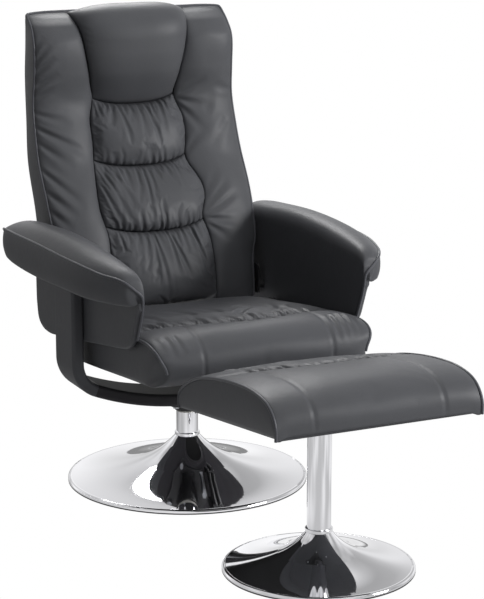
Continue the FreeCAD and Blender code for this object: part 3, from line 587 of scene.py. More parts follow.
# Height, reach and depth of each squeeze of the column by the bolster on the sitter's left.
column_squeezes = ((0.700, 0.035, 0.015), (0.583, 0.032, 0.016))
back_foot = 0.380
lower_seam, middle_seam, upper_seam = 0.569, 0.710, 0.848
back_seam_gap = 0.0006
seam_sag = 0.017
seam_sink = 0.006
backing_gap = 0.012
forward = Vector((0, -1, 0))


def valley_at(z):
    return blend_rows(back_rows, z)[0]


def column_edge(z, side):
    """Half width of the column, which is squeezed on the sitter's left at two cross seams."""
    squeeze = sum(depth * bell(z - height, reach) for height, reach, depth in column_squeezes)
    return blend_rows(column_rows, z)[0] - (squeeze if side > 0 else 0)


def back_seam(across, height):
    """Height of a cross seam, which hangs lower between its ends."""
    return height - seam_sag * puff(across, 2.6, 1)


print("back from", back_foot, "to", back_rows[-1][0], "m")

# %% [markdown]
# Each cushion of the column is one cut panel between two cross seams. Its leather is gathered
# into the stitches, so creases run out of every seam. The small ones come from seeded random
# draws, and the long folds that a sitter presses in are placed one by one.

# %% Cushions of the back
def back_cushion(name, node, low, high, depth, cells, lines):
    """A stuffed panel of the middle column between two cross seams."""
    mesh = bmesh.new()
    lowest = low == back_foot

    def place(u, v):
        across = 2 * u - 1
        base = low if lowest else back_seam(across, low) + back_seam_gap
        top = back_seam(across, high) - back_seam_gap
        z = mix(base, top, v)
        x = across * (column_edge(z, across) - back_seam_gap)
        full = puff(2 * v - 1, 3.0, 0.55)
        if lowest and v < 0.5:
            full = max(full, puff(2 * v - 1, 8, 0.5))
        rise = depth * full * puff(across, 2.6, 0.6)
        fold = crease_depth(x, z, lines) * puff(across, 10, 1)
        return Vector((x, valley_at(z) + seam_sink * (1 - full) - rise + fold, z))

    panel(mesh, *cells, place)
    stuff(mesh, forward, 0.03, 0.010)
    refine(mesh)
    close_behind(mesh, Vector((0, backing_gap, 0)))
    cover(mesh, name, "back", [node])


def seam_line(height, half):
    """A cross seam as a function of the place across it."""
    return lambda x: back_seam(x / half, height)


upper_lines = (
    seam_creases(11, -0.105, 0.108, seam_line(upper_seam, 0.11), -1, 0.020, 0.058, 0.0050)
    + seam_creases(12, -0.105, 0.108, seam_line(middle_seam, 0.12), 1, 0.021, 0.034, 0.0040))
middle_lines = (seam_creases(21, -0.112, 0.118, seam_line(middle_seam, 0.12), -1, 0.020, 0.052, 0.0050)
                + seam_creases(22, -0.118, 0.125, seam_line(lower_seam, 0.13), 1, 0.019, 0.044, 0.0050)
                + [((-0.112, 0.690, -0.070, 0.575), 0.0045, 0.0055),
                   ((-0.092, 0.694, -0.052, 0.600), 0.0045, 0.0050),
                   ((-0.120, 0.655, -0.092, 0.566), 0.0045, 0.0050)])
lower_lines = (seam_creases(31, -0.120, 0.122, seam_line(lower_seam, 0.13), -1, 0.019, 0.070, 0.0055)
               + [((-0.018, 0.536, -0.006, 0.400), 0.0040, 0.0050),
                  ((0.024, 0.536, 0.050, 0.440), 0.0045, 0.0050),
                  ((0.078, 0.545, 0.100, 0.440), 0.0050, 0.0050)])
for word, low, high, depth, cells, lines in (
        ("upper", middle_seam, upper_seam, 0.031, (84, 46), upper_lines),
        ("middle", lower_seam, middle_seam, 0.029, (88, 52), middle_lines),
        ("lower", back_foot, lower_seam, 0.027, (88, 56), lower_lines)):
    back_cushion(word + "_cushion_cover", word + "_back_cushion", low, high, depth, cells, lines)

# %% [markdown]
# The head pillow is fuller than the cushions. It stands in front of the bolsters, rolls over the
# top of the back and ends in the piping behind. One panel serves for both: up to the turn it is
# a cushion, and above it an arc carries the leather over to the ridge. The seam on the sitter's
# right is eased into small pleats.

# %% Head pillow
pillow_turn = 0.985
pillow_upright = 0.955
pillow_depth = 0.038
pillow_top, pillow_side_top = 1.066, 1.048
pillow_fall = 0.012
pillow_roll = math.radians(118)
front_share = 0.55
filled_share = 0.42
ridge_y = 0.3620
pillow_lines = [((-0.150, z, -0.112, z - 0.020), 0.0035, depth) for z, depth in (
    (1.024, 0.0020), (1.010, 0.0026), (0.996, 0.0030), (0.981, 0.0026), (0.966, 0.0022),
    (0.950, 0.0020), (0.932, 0.0016), (0.914, 0.0012))]


def pillow_point(u, v):
    """Point of the pillow: first share from side to side, second share up and over."""
    across = 2 * u - 1
    low = back_seam(across, upper_seam) + back_seam_gap
    full_across = puff(across, 2.8, 0.58)
    if v < front_share:
        z = mix(low, pillow_turn, v / front_share)
        full = puff(1 - min(v / filled_share, 1), 2.4, 0.55)
        seam_y = valley_at(z) + seam_sink * (1 - full)
        middle_y = valley_at(min(z, pillow_upright)) + seam_sink * (1 - full) - pillow_depth * full
        y = mix(seam_y, middle_y, full_across)
    else:
        rolled = (v - front_share) / (1 - front_share)
        turn = pillow_roll * rolled
        full_across = puff(across, mix(2.8, 5.0, rolled), mix(0.58, 0.42, rolled))
        side_z = mix(pillow_turn, pillow_side_top, rolled)
        start_y = valley_at(pillow_upright) - pillow_depth
        swing = (1 - math.cos(turn)) / (1 - math.cos(pillow_roll))
        top = pillow_top - pillow_fall * abs(across) ** 3
        middle = Vector((0, mix(start_y, ridge_y, swing), mix(pillow_turn, top, math.sin(turn))))
        side = Vector((0, valley_at(side_z), side_z))
        point = side.lerp(middle, full_across)
        y, z = point.y, point.z
    x = across * (column_edge(z, across) - back_seam_gap)
    return Vector((x, y + crease_depth(x, z, pillow_lines), z))


pillow_mesh = bmesh.new()
panel(pillow_mesh, 84, 84, pillow_point)
stuff(pillow_mesh, forward, 0.002, 0.008, firmness=15)
refine(pillow_mesh)
close_behind(pillow_mesh, Vector((0, backing_gap * 0.3, -0.002)))
cover(pillow_mesh, "head_pillow_cover", "back", ["head_pillow"])

# %% [markdown]
# The bolsters are long panels from the column's seam to the outer piping. The leather is pulled
# round the bend of the back, so it creases from the piping and from the ends of the cross seams.
# The two sides crease differently, as hand-pulled covers do. One flat face can't close a panel
# with a bend in it, so the open edge is drawn in to a line down the middle of its back.

# %% Bolsters
# Each crease: the ends of its line across and up the bolster, its width and its depth.
left_creases = (
    ((0.112, 0.577, 0.218, 0.627), 0.0065, 0.0060),
    ((0.112, 0.583, 0.195, 0.655), 0.0070, 0.0055),
    ((0.110, 0.592, 0.176, 0.678), 0.0070, 0.0040),
    ((0.112, 0.573, 0.214, 0.557), 0.0065, 0.0055),
    ((0.116, 0.565, 0.186, 0.511), 0.0070, 0.0040),
    ((0.108, 0.843, 0.178, 0.884), 0.0070, 0.0045),
    ((0.108, 0.836, 0.196, 0.812), 0.0075, 0.0045),
    ((0.110, 0.822, 0.165, 0.759), 0.0075, 0.0040),
    ((0.110, 0.716, 0.155, 0.764), 0.0070, 0.0040),
    ((0.175, 0.808, 0.217, 0.905), 0.0130, 0.0010),
    ((0.222, 0.782, 0.149, 0.697), 0.0120, 0.0020),
    ((0.248, 0.850, 0.190, 0.870), 0.0080, 0.0030),
)
right_creases = (
    ((0.252, 0.968, 0.226, 1.000), 0.0055, 0.0045),
    ((0.252, 0.940, 0.214, 0.982), 0.0060, 0.0060),
    ((0.253, 0.912, 0.204, 0.952), 0.0060, 0.0065),
    ((0.253, 0.880, 0.194, 0.914), 0.0065, 0.0065),
    ((0.251, 0.853, 0.205, 0.878), 0.0060, 0.0036),
    ((0.250, 0.822, 0.165, 0.797), 0.0070, 0.0050),
    ((0.253, 0.790, 0.140, 0.728), 0.0070, 0.0070),
    ((0.253, 0.757, 0.178, 0.700), 0.0070, 0.0050),
    ((0.255, 0.697, 0.172, 0.615), 0.0075, 0.0065),
    ((0.256, 0.652, 0.195, 0.598), 0.0075, 0.0060),
    ((0.256, 0.612, 0.210, 0.570), 0.0070, 0.0050),
)


bolster_top = 1.0455
lumps_across, lumps_along = 22, 14
lump_height = 0.0018
spine_weld = 0.0002


def bolster(word, side, creases, seed):
    """A long panel beside the column, with faint lumps in its filling."""
    mesh = bmesh.new()

    def place(u, v):
        z = mix(back_foot, bolster_top, 1 - (1 - v) ** 1.25)
        valley, outer, edge, bulge = blend_rows(back_rows, z)
        inner = column_edge(z, side) + back_seam_gap
        x = mix(inner, outer, u)
        across = 2 * u - 1
        y = mix(valley + seam_sink * 0.5, edge, u) - bulge * puff(across, 2.4, 0.62)
        lump = lump_height * noise.noise(Vector((x * lumps_across + seed, z * lumps_along, seed)))
        y += (crease_depth(x, z, creases) + lump) * puff(across, 8, 1)
        return Vector((side * x, y, z))

    panel(mesh, 52, 200, place)
    stuff(mesh, forward, 0.001, 0.006, pressure=1.6, firmness=40)
    refine(mesh)
    rim = [edge for edge in mesh.edges if edge.is_boundary]
    made = bmesh.ops.extrude_edge_only(mesh, edges=rim)["geom"]
    spine = [item for item in made if isinstance(item, bmesh.types.BMVert)]
    for vert in spine:
        valley, outer, edge = blend_rows(back_rows, vert.co.z)[:3]
        middle = (column_edge(vert.co.z, side) + outer) / 2
        vert.co = Vector((side * middle, (valley + edge) / 2 + backing_gap, vert.co.z))
    bmesh.ops.remove_doubles(mesh, verts=spine, dist=spine_weld)
    print(word, "bolster, open edges", sum(edge.is_boundary for edge in mesh.edges))
    cover(mesh, word + "_bolster_cover", "back", [word + "_bolster"])


bolster("left", 1, left_creases, 3.0)
bolster("right", -1, right_creases, 9.0)

# %% [markdown]
# Behind the piping a gusset about ten centimetres deep goes back to the rear panel. Both are one
# sleeve here: a ring round the slab at each height, closed at the foot and under the top piping.

# %% Lines of the rear
# Height; half width of the rear; depth of the rear at its sides and in the middle.
rear_rows = (
    (0.3740, 0.2331, 0.2850, 0.2925),
    (0.4654, 0.2344, 0.3050, 0.3150),
    (0.5110, 0.2419, 0.3175, 0.3275),
    (0.5995, 0.2444, 0.3413, 0.3525),
    (0.7008, 0.2482, 0.3713, 0.3825),
    (0.7989, 0.2444, 0.3875, 0.4000),
    (0.9003, 0.2407, 0.4013, 0.4138),
    (0.9700, 0.2390, 0.3980, 0.4110),
    (1.0150, 0.2400, 0.3920, 0.4030),
    (1.0330, 0.2430, 0.3830, 0.3900),
    (1.0430, 0.2430, 0.3760, 0.3790),
    (1.0475, 0.2380, 0.3680, 0.3700),
)
rear_foot, rear_top = 0.374, 1.0475
rear_fade = 0.02
rear_corner = 0.022
rear_counts = (22, 22, 18, 8, 22, 22, 8, 18)
rear_steps, piping_steps = 120, 36
print("rear of the back", round((rear_top - rear_foot) * 1000), "mm high")

# %% [markdown]
# A ring is a chain of short curves, each with a pull point that rounds it, as the leather rounds
# the edge of a board. A grid rolled into a tube carries the rings, with its long edges welded.

# %% Sleeves
def curve_point(start, pull, end, part):
    """Point on a curve that leaves its start and reaches its end towards a pull point."""
    return start.lerp(pull, part).lerp(pull.lerp(end, part), part)


def ring_of(pulls, counts):
    """Points along a chain of curves, each given by its start, its pull and its end."""
    return [curve_point(start, pull, end, step / count)
            for count, (start, pull, end) in zip(counts, pulls) for step in range(count)]


tube_weld = 0.00002


def sleeve(mesh, rings, depths, place):
    """Rings of points set one after another as one closed sleeve."""
    count = len(rings[0])
    last = len(rings) - 1
    panel(mesh, count, last, lambda u, v: place(rings[round(v * last)][round(u * count) % count],
                                                depths[round(v * last)]))
    bmesh.ops.remove_doubles(mesh, verts=mesh.verts, dist=tube_weld)

# %% [markdown]
# The slab's ring runs from the piping across the hidden front, round to the other piping, and
# back along the gussets and the rear. One half is drawn and the other is its mirror image.

# %% Rear of the back
def rear_ring(z):
    """Outline of the slab at a height: front, piping, gusset, rounded corner and rear."""
    valley, piping_x, piping_y = blend_rows(back_rows, max(z, back_foot))[:3]
    rear_x, side_y, middle_y = blend_rows(rear_rows, z)
    fade = min(1, (rear_top - z) / rear_fade)
    front = max(valley + backing_gap * 0.8 * fade, piping_y - 0.004)
    low, high = Vector((-piping_x, piping_y)), Vector((piping_x, piping_y))
    chain = [(low, Vector((-piping_x * 0.8, front)), Vector((0, front))),
             (Vector((0, front)), Vector((piping_x * 0.8, front)), high)]
    corner = min(rear_corner, (side_y - piping_y) * 0.6)
    edge = Vector((rear_x + 0.001, side_y - corner))
    turn = Vector((rear_x - corner, side_y + corner * 0.15))
    swell = Vector((max(piping_x, rear_x) + 0.001, mix(piping_y, edge.y, 0.5)))
    centre = Vector((0, middle_y))
    chain += [(high, swell, edge), (edge, Vector((rear_x, side_y)), turn),
              (turn, Vector((rear_x * 0.5, middle_y)), centre)]
    other = [(end.copy(), pull.copy(), start.copy()) for start, pull, end in reversed(chain[2:])]
    for row in other:
        for spot in row:
            spot.x = -spot.x
    return ring_of(chain + other, rear_counts)


rear_heights = [mix(rear_foot, rear_top, 1 - (1 - step / rear_steps) ** 1.4)
                for step in range(rear_steps + 1)]
rear_mesh = bmesh.new()
sleeve(rear_mesh, [rear_ring(z) for z in rear_heights], rear_heights,
       lambda spot, z: Vector((spot.x, spot.y, z)))
close_behind(rear_mesh)
cover(rear_mesh, "back_rear_cover", "back", ["back_rear_pad"])

# %% [markdown]
# One length of piping runs up one edge of the back, over the ridge and down the other edge. Its
# points stand closer together towards the top, where it turns the corners.

# %% Piping of the back
def back_piping(height, side):
    piping_x, piping_y = blend_rows(back_rows, height)[1:3]
    return Vector((side * (piping_x + welt_lift), piping_y + welt_lift, height))


piping_top = 1.0465
ridge_z = 1.0485
piping_heights = [mix(back_foot, piping_top, 1 - (1 - step / piping_steps) ** 1.5)
                  for step in range(piping_steps + 1)]
outer_line = [back_piping(height, -1) for height in piping_heights]
outer_line += [Vector((x * 0.01, ridge_y, ridge_z)) for x in range(-20, 21, 2)]
outer_line += [back_piping(height, 1) for height in reversed(piping_heights)]
welt("back_welt", "back", outer_line)

# %% [markdown]
# The seat is a crowned pad that rolls down over its front rail. It is drawn level and then
# tilted back as it hangs on its pivots. Two seams run fore and aft, a tufted seam crosses it,
# and a gusset closes its sides below the piping.

# %% Lines of the seat
seat_pivot = Vector((0, 0.060, 0.372))
seat_tilt = math.radians(6.2)
# Share of the way from under the nose to the rear; depth and height of the middle line; half
# width; depth and height of the piping.
seat_rows = (
    (0.00, -0.3960, 0.2922, 0.2440, -0.3910, 0.2922),
    (0.04, -0.4220, 0.3000, 0.2400, -0.4130, 0.3000),
    (0.08, -0.4380, 0.3120, 0.2340, -0.4250, 0.3120),
    (0.12, -0.4430, 0.3270, 0.2310, -0.4300, 0.3247),
    (0.16, -0.4445, 0.3430, 0.2350, -0.4312, 0.3378),
    (0.20, -0.4400, 0.3600, 0.2430, -0.4298, 0.3530),
    (0.24, -0.4290, 0.3755, 0.2475, -0.4212, 0.3660),
    (0.28, -0.4110, 0.3900, 0.2500, -0.4030, 0.3760),
    (0.32, -0.3880, 0.4010, 0.2505, -0.3780, 0.3830),
    (0.37, -0.3580, 0.4075, 0.2505, -0.3457, 0.3862),
    (0.44, -0.3120, 0.4090, 0.2505, -0.3000, 0.3870),
    (0.55, -0.2360, 0.4080, 0.2500, -0.2300, 0.3865),
    (0.75, -0.1000, 0.4060, 0.2490, -0.1000, 0.3850),
    (0.88, 0.0050, 0.4030, 0.2460, 0.0050, 0.3830),
    (0.96, 0.0720, 0.3980, 0.2400, 0.0700, 0.3800),
    (1.00, 0.0985, 0.3860, 0.2380, 0.0900, 0.3760),
)
# The same share; depth and half width of the lower edge of the gusset.
seat_low_rows = (
    (0.00, -0.3910, 0.2440),
    (0.05, -0.3840, 0.2475),
    (0.10, -0.3660, 0.2480),
    (0.44, -0.2600, 0.2465),
    (0.88, 0.0050, 0.2450),
    (1.00, 0.0860, 0.2380),
)
seat_low = 0.2922
seat_cells = (120, 132)
gusset_cells = 10
seat_seam = 0.150
seat_tuft_y = -0.330
seat_tuft_bow = 0.062
tuft_reach = 0.2
seat_seam_grooves = ((0.0024, 0.0036),)
seat_tuft_grooves = ((0.0085, 0.022), (0.0045, 0.0045))
quilted_ahead, seat_quilted_behind = -0.026, 0.040
stitch_reach = 0.0018
sides = (("left", 1), ("right", -1))
print("seat", round((seat_rows[-1][1] - seat_rows[0][1]) * 1000), "mm deep at its middle line")

# %% [markdown]
# The tufted seam bows forward, and the leather gathered into it stands in short creases before
# and behind it. Longer folds come over the nose at both sides, where the cover is pulled down,
# and a few shallow ones cross the seat. The short ones are drawn from a seeded dice.

# %% Creases of the seat
def seat_tuft(x):
    """Depth of the tufted seam, which bows forward between its ends."""
    return seat_tuft_y + seat_tuft_bow * min(1, abs(x) / tuft_reach) ** 1.6


seat_lines = (
    seam_creases(51, -0.215, 0.200, seat_tuft, 1, 0.021, 0.045, 0.0085, lean=-0.3)
    + seam_creases(52, -0.200, 0.150, seat_tuft, -1, 0.021, 0.026, 0.0080, lean=0.2)
    + [((x, y, x * 0.985, y - length), 0.0055, depth) for x, y, length, depth in (
        (0.172, -0.380, 0.100, 0.0045), (0.190, -0.372, 0.110, 0.0055), (0.207, -0.366, 0.110, 0.0060),
        (0.224, -0.362, 0.110, 0.0055), (0.239, -0.366, 0.090, 0.0040), (-0.196, -0.390, 0.075, 0.0030),
        (-0.216, -0.385, 0.085, 0.0035), (-0.235, -0.380, 0.080, 0.0030))]
    + [((-0.080, -0.230, -0.100, -0.120), 0.010, 0.0035), ((-0.020, -0.235, -0.030, -0.140), 0.010, 0.0035),
       ((0.010, -0.262, 0.075, -0.200), 0.008, 0.0050), ((0.040, -0.190, 0.110, -0.160), 0.012, 0.0040),
       ((-0.160, -0.220, -0.200, -0.080), 0.010, 0.0030), ((0.120, -0.240, 0.160, -0.120), 0.011, 0.0030)]
)
print("creases of the seat", len(seat_lines))

# %% [markdown]
# The top is a row of cross-sections, each as crowned as the filling makes it. Grooves and creases
# are cut square to the surface, so they stay as deep where the seat rolls over its nose.

# %% Top of the seat
def grooves(distance, rows):
    """Depth of the grooves that a seam pulls in, each given by its depth and its width."""
    return sum(depth * bell(distance, width) for depth, width in rows)


def turned(point, pivot, angle):
    """A point turned about a pivot, with the front end up."""
    return pivot + Matrix.Rotation(-angle, 3, "X") @ (point - pivot)


def tilt_seat(point):
    return turned(point, seat_pivot, seat_tilt)


def square_to(rows, share):
    """Direction square to the middle line of a crowned top."""
    ahead, behind = blend_rows(rows, share + 0.01), blend_rows(rows, share - 0.01)
    slope = Vector((ahead[0] - behind[0], ahead[1] - behind[1])).normalized()
    return Vector((0, -slope.y, slope.x))


def seat_top(u, v):
    """Point of the top: first share from side to side, second share from under the nose to the rear."""
    across = 2 * u - 1
    crown_y, crown_z, half, side_y, side_z = blend_rows(seat_rows, v)
    x = across * half
    full = puff(across, 2.8, 0.55)
    point = Vector((x, mix(side_y, crown_y, full), mix(side_z, crown_z, full)))
    shape = grooves(abs(x) - seat_seam, seat_seam_grooves) * limited((0.5 - v) / 0.04)
    tuft = point.y - seat_tuft(x)
    if v > 0.34:
        shape += grooves(tuft, seat_tuft_grooves) * full
    edge = min(1, 5 * (1 - abs(across))) * limited((v - 0.10) / 0.06) * min(1, (1 - v) / 0.05)
    along = point.y if v > 0.32 else -0.388 - (0.32 - v) * 0.65
    shape += crease_depth(x, along, seat_lines) * edge
    return tilt_seat(point - square_to(seat_rows, v) * shape)


print("seat top", round(seat_top(0.5, 0.6).z * 1000), "mm up in its middle")

# %% [markdown]
# Gussets at both sides and a wall at the rear close the pad. The stitched lines are held while
# the cloth swells the top, because thread that goes through the filling keeps them down.

# %% Seat cover
def seat_gusset(u, v):
    """Side wall below the piping: first share from the nose to the rear, second share down."""
    half, side_y, side_z = blend_rows(seat_rows, u)[2:]
    low_y, low_half = blend_rows(seat_low_rows, u)
    swell = 0.0035 * puff(2 * v - 1, 2, 0.8) * min(1, u * 8) * min(1, (1 - u) * 8)
    return tilt_seat(Vector((mix(half, low_half, v) + swell, mix(side_y, low_y, v),
                             mix(side_z, seat_low, v))))


def seat_rear(u, v):
    """Rear wall: first share from side to side, second share down."""
    low_y, low_half = seat_low_rows[-1][1:]
    foot = tilt_seat(Vector(((2 * u - 1) * low_half, low_y, seat_low)))
    return seat_top(u, 1).lerp(foot, v)


def mirrored(place):
    """The same place on the other side of the chair."""
    def other(u, v):
        point = place(u, v)
        return Vector((-point.x, point.y, point.z))
    return other


def seat_held(point):
    """The stitched lines of the seat, which the stuffing can't lift."""
    level = turned(point, seat_pivot, -seat_tilt)
    tufted = quilted_ahead < level.y - seat_tuft(level.x) < seat_quilted_behind and level.z > 0.35
    sewn = abs(abs(level.x) - seat_seam) < stitch_reach and level.y < seat_tuft(level.x)
    return tufted or sewn


seat_across, seat_along = seat_cells
seat_mesh = bmesh.new()
panel(seat_mesh, seat_across, seat_along, seat_top)
stuff(seat_mesh, Vector((0, -0.3, 1)), 0.004, 0.006, seat_held, firmness=8)
panel(seat_mesh, seat_along, gusset_cells, seat_gusset)
panel(seat_mesh, seat_along, gusset_cells, mirrored(seat_gusset))
panel(seat_mesh, seat_across, gusset_cells, seat_rear)
bmesh.ops.remove_doubles(seat_mesh, verts=seat_mesh.verts, dist=sewn_gap)
close_behind(seat_mesh)
cover(seat_mesh, "seat_cover", "seat", ["seat_cushion"])
seat_welt_steps = 43
for word, side in sides:
    seat_line = []
    for step in range(5, seat_welt_steps + 1):
        half, side_y, side_z = blend_rows(seat_rows, step / seat_welt_steps)[2:]
        seat_line.append(tilt_seat(Vector((side * (half + welt_lift), side_y, side_z))))
    welt(word + "_seat_welt", "seat", seat_line)

# %% [markdown]
# Each arm is a padded board in one sleeve of leather. The inner face runs up over the crown to a
# piping on the outer edge. Below the piping the leather turns under a lip, back to the board and
# down the inside of the post.

# %% Lines of the arms
arm_inner = 0.2565
arm_board = 0.014
arm_front, arm_rear = -0.372, 0.252
arm_steps, arm_welt_steps = 120, 60
# Depth; half width of the chair at the arm; heights of the piping, the crown and the lip.
arm_rows = (
    (-0.3720, 0.2750, 0.5455, 0.5480, 0.5215),
    (-0.3670, 0.2916, 0.5600, 0.5650, 0.5170),
    (-0.3470, 0.3072, 0.5680, 0.5800, 0.5145),
    (-0.3096, 0.3238, 0.5705, 0.5890, 0.5120),
    (-0.2378, 0.3404, 0.5765, 0.5980, 0.5090),
    (-0.1411, 0.3491, 0.5785, 0.6055, 0.5080),
    (-0.0038, 0.3530, 0.5790, 0.6065, 0.5025),
    (0.1459, 0.3540, 0.5750, 0.5965, 0.5015),
    (0.2333, 0.3521, 0.5720, 0.5870, 0.5080),
    (0.2520, 0.3443, 0.5665, 0.5780, 0.5180),
)
# Depth and height of the lower edge of the board.
arm_foot_rows = (
    (-0.3720, 0.5020),
    (-0.3640, 0.4920),
    (-0.3499, 0.4600),
    (-0.3330, 0.4250),
    (-0.3090, 0.4080),
    (-0.2600, 0.3960),
    (0.1200, 0.3370),
    (0.1800, 0.3300),
    (0.2200, 0.3360),
    (0.2437, 0.3550),
    (0.2520, 0.3900),
)
arm_pieces = (16, 10, 14, 12, 8, 16, 4)
print("arms", round((arm_rear - arm_front) * 1000), "mm long")

# %% [markdown]
# A tight sleeve has no slack to crumple, so it is drawn as rings along the arm and isn't
# stuffed. The piping follows the outer edge and then runs down the front of the arm.

# %% Arm covers
def arm_ring(y):
    """Cross-section of an arm, from the lower inner edge over the crown and back."""
    outer, piping_z, crown_z, lip_z = blend_rows(arm_rows, y)
    foot_z = min(blend_rows(arm_foot_rows, y)[0], lip_z - 0.003)
    shoulder = (outer - arm_inner) * 0.42
    back = arm_inner + arm_board
    low_in = Vector((arm_inner, foot_z + 0.004))
    shoulder_in = Vector((arm_inner, crown_z - shoulder))
    crown = Vector((arm_inner + shoulder, crown_z))
    rim = Vector((outer, piping_z))
    lip = Vector((outer - 0.003, lip_z))
    throat = Vector((back, lip_z - 0.001))
    low_out = Vector((back, foot_z + 0.004))
    pulls = (
        (low_in, low_in.lerp(shoulder_in, 0.5) - Vector((0.001, 0)), shoulder_in),
        (shoulder_in, Vector((arm_inner, crown_z)), crown),
        (crown, Vector((mix(crown.x, outer, 0.55), crown_z)), rim),
        (rim, Vector((outer + 0.009, mix(piping_z, lip_z, 0.55))), lip),
        (lip, Vector((mix(back, outer, 0.4), lip_z - 0.010)), throat),
        (throat, throat.lerp(low_out, 0.5) + Vector((0.001, 0)), low_out),
        (low_out, Vector((mix(arm_inner, back, 0.5), foot_z - 0.004)), low_in),
    )
    return ring_of(pulls, arm_pieces)


def arm_depth(share):
    """Depth of a station, with closer stations at both ends."""
    return mix(arm_front, arm_rear, (1 - math.cos(math.pi * share)) / 2)


def arm_cover(word, side):
    """The sleeve of one arm and the piping round its outer edge and front."""
    mesh = bmesh.new()
    depths = [arm_depth(step / arm_steps) for step in range(arm_steps + 1)]
    sleeve(mesh, [arm_ring(y) for y in depths], depths,
           lambda spot, y: Vector((side * spot.x, y, spot.y)))
    close_behind(mesh)
    cover(mesh, word + "_arm_cover", "turntable", [word + "_arm_pad", word + "_arm_panel"])
    line = [Vector((side * 0.3443, 0.254, 0.5640))]
    for step in range(arm_welt_steps, -1, -1):
        y = arm_depth(step / arm_welt_steps)
        outer, piping_z = blend_rows(arm_rows, y)[:2]
        line.append(Vector((side * (outer + 0.0005), y, piping_z + 0.0005)))
    line += [Vector((side * x, y, z)) for x, y, z in (
        (0.2680, -0.3740, 0.5400), (0.2605, -0.3735, 0.5310), (0.2590, -0.3730, 0.5180),
        (0.2590, -0.3680, 0.4960), (0.2590, -0.3545, 0.4650), (0.2590, -0.3385, 0.4320))]
    welt(word + "_arm_welt", "turntable", line)


for word, side in sides:
    arm_cover(word, side)

# %% [markdown]
# The footstool repeats the seat: a crowned pad on a board, with two seams fore and aft, a tufted
# seam across, a rolled far edge and piping at both sides. Its top slopes down to the sitter, and
# the cover hangs a little low at its two far corners.

# %% Lines of the footstool
stool_centre = Vector((0, -0.672, 0.335))
stool_tilt = math.radians(7)
# Share of the way from the sitter's end to the far end; depth from the column; heights of the
# middle line and of the piping.
stool_rows = (
    (0.00, 0.1960, 0.3420, 0.3420),
    (0.05, 0.1985, 0.3600, 0.3560),
    (0.10, 0.1930, 0.3800, 0.3720),
    (0.15, 0.1770, 0.3960, 0.3850),
    (0.21, 0.1510, 0.4095, 0.3970),
    (0.29, 0.1080, 0.4215, 0.4110),
    (0.38, 0.0570, 0.4290, 0.4200),
    (0.50, -0.0200, 0.4340, 0.4260),
    (0.62, -0.0950, 0.4350, 0.4270),
    (0.72, -0.1600, 0.4325, 0.4230),
    (0.80, -0.2050, 0.4240, 0.4140),
    (0.87, -0.2370, 0.4100, 0.4000),
    (0.92, -0.2560, 0.3910, 0.3800),
    (0.96, -0.2630, 0.3700, 0.3620),
    (1.00, -0.2600, 0.3420, 0.3420),
)
stool_cells = (112, 120)
stool_half = 0.222
stool_seam = 0.141
stool_low = 0.342
stool_tuft_y = -0.010
stool_tuft_bow = 0.032
stool_seam_grooves = ((0.0022, 0.0034),)
stool_tuft_grooves = ((0.0050, 0.016), (0.0040, 0.0042))
stool_quilted_behind = 0.034
droop_depth = 0.006
droop_x, droop_reach = 0.216, 0.012


def stool_tuft(x):
    """Depth of the tufted seam, measured from the column."""
    return stool_tuft_y + stool_tuft_bow * min(1, abs(x) / tuft_reach) ** 1.6


stool_lines = (
    seam_creases(61, -0.150, 0.185, stool_tuft, 1, 0.021, 0.038, 0.0085, lean=-0.3)
    + seam_creases(62, -0.150, 0.180, stool_tuft, -1, 0.021, 0.030, 0.0080, lean=0.2)
    + [((-0.165, 0.078, -0.085, 0.066), 0.0045, 0.0100), ((0.100, 0.050, 0.170, 0.030), 0.006, 0.0040),
       ((-0.060, 0.060, 0.010, 0.080), 0.008, 0.0030)]
)
print("creases of the stool", len(stool_lines))

# %% [markdown]
# The stool's cover is made as the seat's is, with the same grooves and creases. Its rear and its
# far edge both roll down to the hem, so two gussets are enough to close it.

# %% Footstool cover
def tilt_stool(point):
    """Turns a point of the level stool top about the head of its column."""
    return turned(point + Vector((0, stool_centre.y, 0)), stool_centre, stool_tilt)


def stool_droop(x, v):
    """How far the far corners of the cover hang below its hem."""
    return droop_depth * bell(abs(x) - droop_x, droop_reach) * max(0, (v - 0.9) / 0.1)


def stool_top(u, v):
    """Point of the top: first share from side to side, second share away from the sitter."""
    across = 2 * u - 1
    y, crown_z, side_z = blend_rows(stool_rows, v)
    out = -square_to(stool_rows, v)
    x = across * stool_half
    full = puff(across, 2.8, 0.55)
    point = Vector((x, y, mix(side_z, crown_z, full)))
    shape = grooves(abs(x) - stool_seam, stool_seam_grooves)
    shape *= min(1, v / 0.05) * min(1, (1 - v) / 0.03)
    tuft = y - stool_tuft(x)
    if 0.2 < v < 0.8:
        shape += grooves(tuft, stool_tuft_grooves) * full
        shape += crease_depth(x, y, stool_lines) * min(1, 5 * (1 - abs(across)))
    return tilt_stool(point - out * shape - Vector((0, 0, stool_droop(x, v))))


def stool_piping(share):
    """Depth and height of the piping, before the cover droops."""
    row = blend_rows(stool_rows, share)
    return row[0], row[2]


def stool_gusset(u, v):
    """Side wall below the piping: first share away from the sitter, second share down."""
    y, side_z = stool_piping(u)
    swell = 0.003 * puff(2 * v - 1, 2, 0.8) * min(1, u * 10) * min(1, (1 - u) * 10)
    z = mix(side_z, stool_low, v) - stool_droop(stool_half, u)
    return tilt_stool(Vector((stool_half + swell, y, z)))


def stool_held(point):
    """The stitched lines of the stool, which the stuffing can't lift."""
    level = turned(point, stool_centre, -stool_tilt)
    behind = level.y - stool_centre.y - stool_tuft(level.x)
    tufted = quilted_ahead < behind < stool_quilted_behind and level.z > 0.40
    return tufted or abs(abs(level.x) - stool_seam) < stitch_reach


